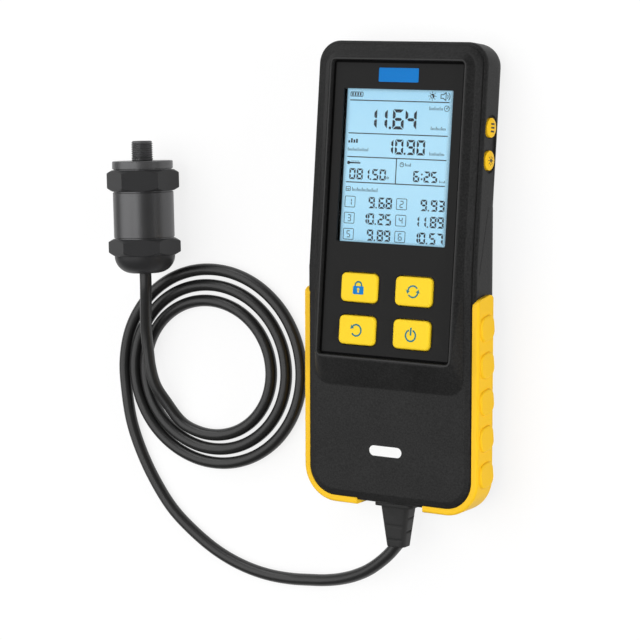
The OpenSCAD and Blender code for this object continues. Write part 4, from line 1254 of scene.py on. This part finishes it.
# CAD pieces keep their shape; a weld and a fine bevel round their edges where they show
nodeFinish = {
    "front_cover": (casePlastic, 0.28), "rear_cover": (casePlastic, 0.3), "face_panel": (panelPlastic, 0.12),
    "display_window": (clearPane, 0), "lcd_cell": (litGlass, 0), "left_grip": (gripRubber, 0.3),
    "right_grip": (gripRubber, 0.3), "side_button_upper": (gripRubber, 0.25),
    "side_button_lower": (gripRubber, 0.25), "strain_relief": (reliefRubber, 0.25),
    "battery_door": (casePlastic, 0.3), "door_screw": (screwSteel, 0.1), "case_screws": (screwSteel, 0.15),
    "backlight": (guideWhite, 0), "main_board": (boardGreen, 0), "controller_chip": (chipBlack, 0),
    "board_header": (headerCream, 0), "buzzer": (chipBlack, 0), "key_switches": (chipBlack, 0),
    "side_switches": (chipBlack, 0), "battery_1": (cellWrap, 0), "battery_2": (cellWrap, 0),
    "battery_3": (cellWrap, 0), "battery_springs": (plateSteel, 0), "battery_plates": (plateSteel, 0),
    "sensing_cell": (plateSteel, 0), "sensor_board": (boardGreen, 0), "sensor_seal": (chipBlack, 0),
}
edgeRound = {"weld": 2e-6, "segments": 2, "angle": 35}


def dressNodes(finishes, look):
    for name, (material, width) in finishes.items():
        piece = nodes[name]
        piece.data.materials.clear()
        piece.data.materials.append(material)
        if width:
            weld = piece.modifiers.new("weld", "WELD")
            weld.merge_threshold = look["weld"]
            bevel = piece.modifiers.new("edgeRound", "BEVEL")
            bevel.width = width * mm
            bevel.segments = look["segments"]
            bevel.limit_method = "ANGLE"
            bevel.angle_limit = np.radians(look["angle"])
            bevel.harden_normals = True


dressNodes(nodeFinish, edgeRound)
print("solids dressed")


studio = {
    "floorHalf": 3.0,
    "floorDrop": 1e-4,
    "floorTone": 0.2,
    "floorLift": 0.82,
    "floorRoughness": 0.9,
    "floorSpecular": 0.1,
    "worldStrength": 0.2,
    "aim": (-0.05, 0, 0),
    # name, place, size, strength, mirrored in glossy surfaces
    "lamps": [
        ("windowLamp", (-1.2, 0.15, 1.6), (2.3, 2.0), 24, True),
        ("topLamp", (0.1, 0, 2.0), (1.8, 0.7), 9, True),
        ("backLamp", (-0.9, 1.7, 0.9), (1.6, 0.8), 12, True),
        ("rightLamp", (1.9, 0.1, 0.3), (2.0, 0.4), 2, True),
        ("fillLamp", (1.9, -0.2, 0.5), (1.2, 0.7), 26, False),
    ],
}


# pale floor: it shows white to the camera, to mirrors and through glass, less the shadow that falls on it
def makeFloor(look):
    half, tone = look["floorHalf"], look["floorTone"]
    points = np.column_stack([box(-half, -half, half, half), np.full(4, -look["floorDrop"])])
    mesh = bpy.data.meshes.new("floor")
    mesh.from_pydata(points.tolist(), [], [(0, 1, 2, 3)])
    material, tree, shader = newMaterial("paleFloor")
    shader.inputs["Base Color"].default_value = (tone, tone, tone, 1)
    shader.inputs["Roughness"].default_value = look["floorRoughness"]
    shader.inputs["Specular IOR Level"].default_value = look["floorSpecular"]
    shader.inputs["Emission Color"].default_value = (1, 1, 1, 1)
    light = addNode(tree, "ShaderNodeLightPath").outputs
    bounced = mathNode(tree, "MAXIMUM", light["Is Glossy Ray"], light["Is Transmission Ray"])
    seen = mathNode(tree, "MAXIMUM", light["Is Camera Ray"], bounced)
    wire(tree, mathNode(tree, "MULTIPLY", seen, look["floorLift"]), shader.inputs["Emission Strength"])
    mesh.materials.append(material)
    floor = bpy.data.objects.new("floor", mesh)
    bpy.context.scene.collection.objects.link(floor)
    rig.stage(floor)


# soft rectangles of light, each turned toward the aim
def makeLamps(look):
    for name, place, size, strength, mirrored in look["lamps"]:
        data = bpy.data.lights.new(name, "AREA")
        data.shape = "RECTANGLE"
        data.size, data.size_y = size
        data.energy = strength
        lamp = bpy.data.objects.new(name, data)
        lamp.visible_glossy = mirrored
        back = unit(np.array(place) - np.array(look["aim"]))
        side = unit(np.cross([0, 0, 1], back))
        turn = Matrix([side, np.cross(back, side), back]).transposed().to_4x4()
        lamp.matrix_world = Matrix.Translation(place) @ turn
        bpy.context.scene.collection.objects.link(lamp)


# dim even light from all round, white where the camera looks past the floor, through glass too
def makeWorld(look):
    world = bpy.data.worlds.new("studio")
    world.use_nodes = True
    bpy.context.scene.world = world
    tree = world.node_tree
    sky = tree.nodes["Background"]
    light = addNode(tree, "ShaderNodeLightPath").outputs
    seen = mathNode(tree, "MAXIMUM", light["Is Camera Ray"], light["Is Transmission Ray"])
    lift = mathNode(tree, "MULTIPLY", seen, 1.0 - look["worldStrength"])
    wire(tree, mathNode(tree, "ADD", lift, look["worldStrength"]), sky.inputs["Strength"])
    sky.inputs["Color"].default_value = (1, 1, 1, 1)


makeFloor(studio)
makeLamps(studio)
makeWorld(studio)
bpy.context.scene.view_settings.view_transform = "Standard"
print("studio lit")

low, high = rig.bounds()
with open("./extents.json", "w") as out:
    json.dump({"cad": [list(cadLow), list(cadHigh)], "visual": [list(low), list(high)]}, out)
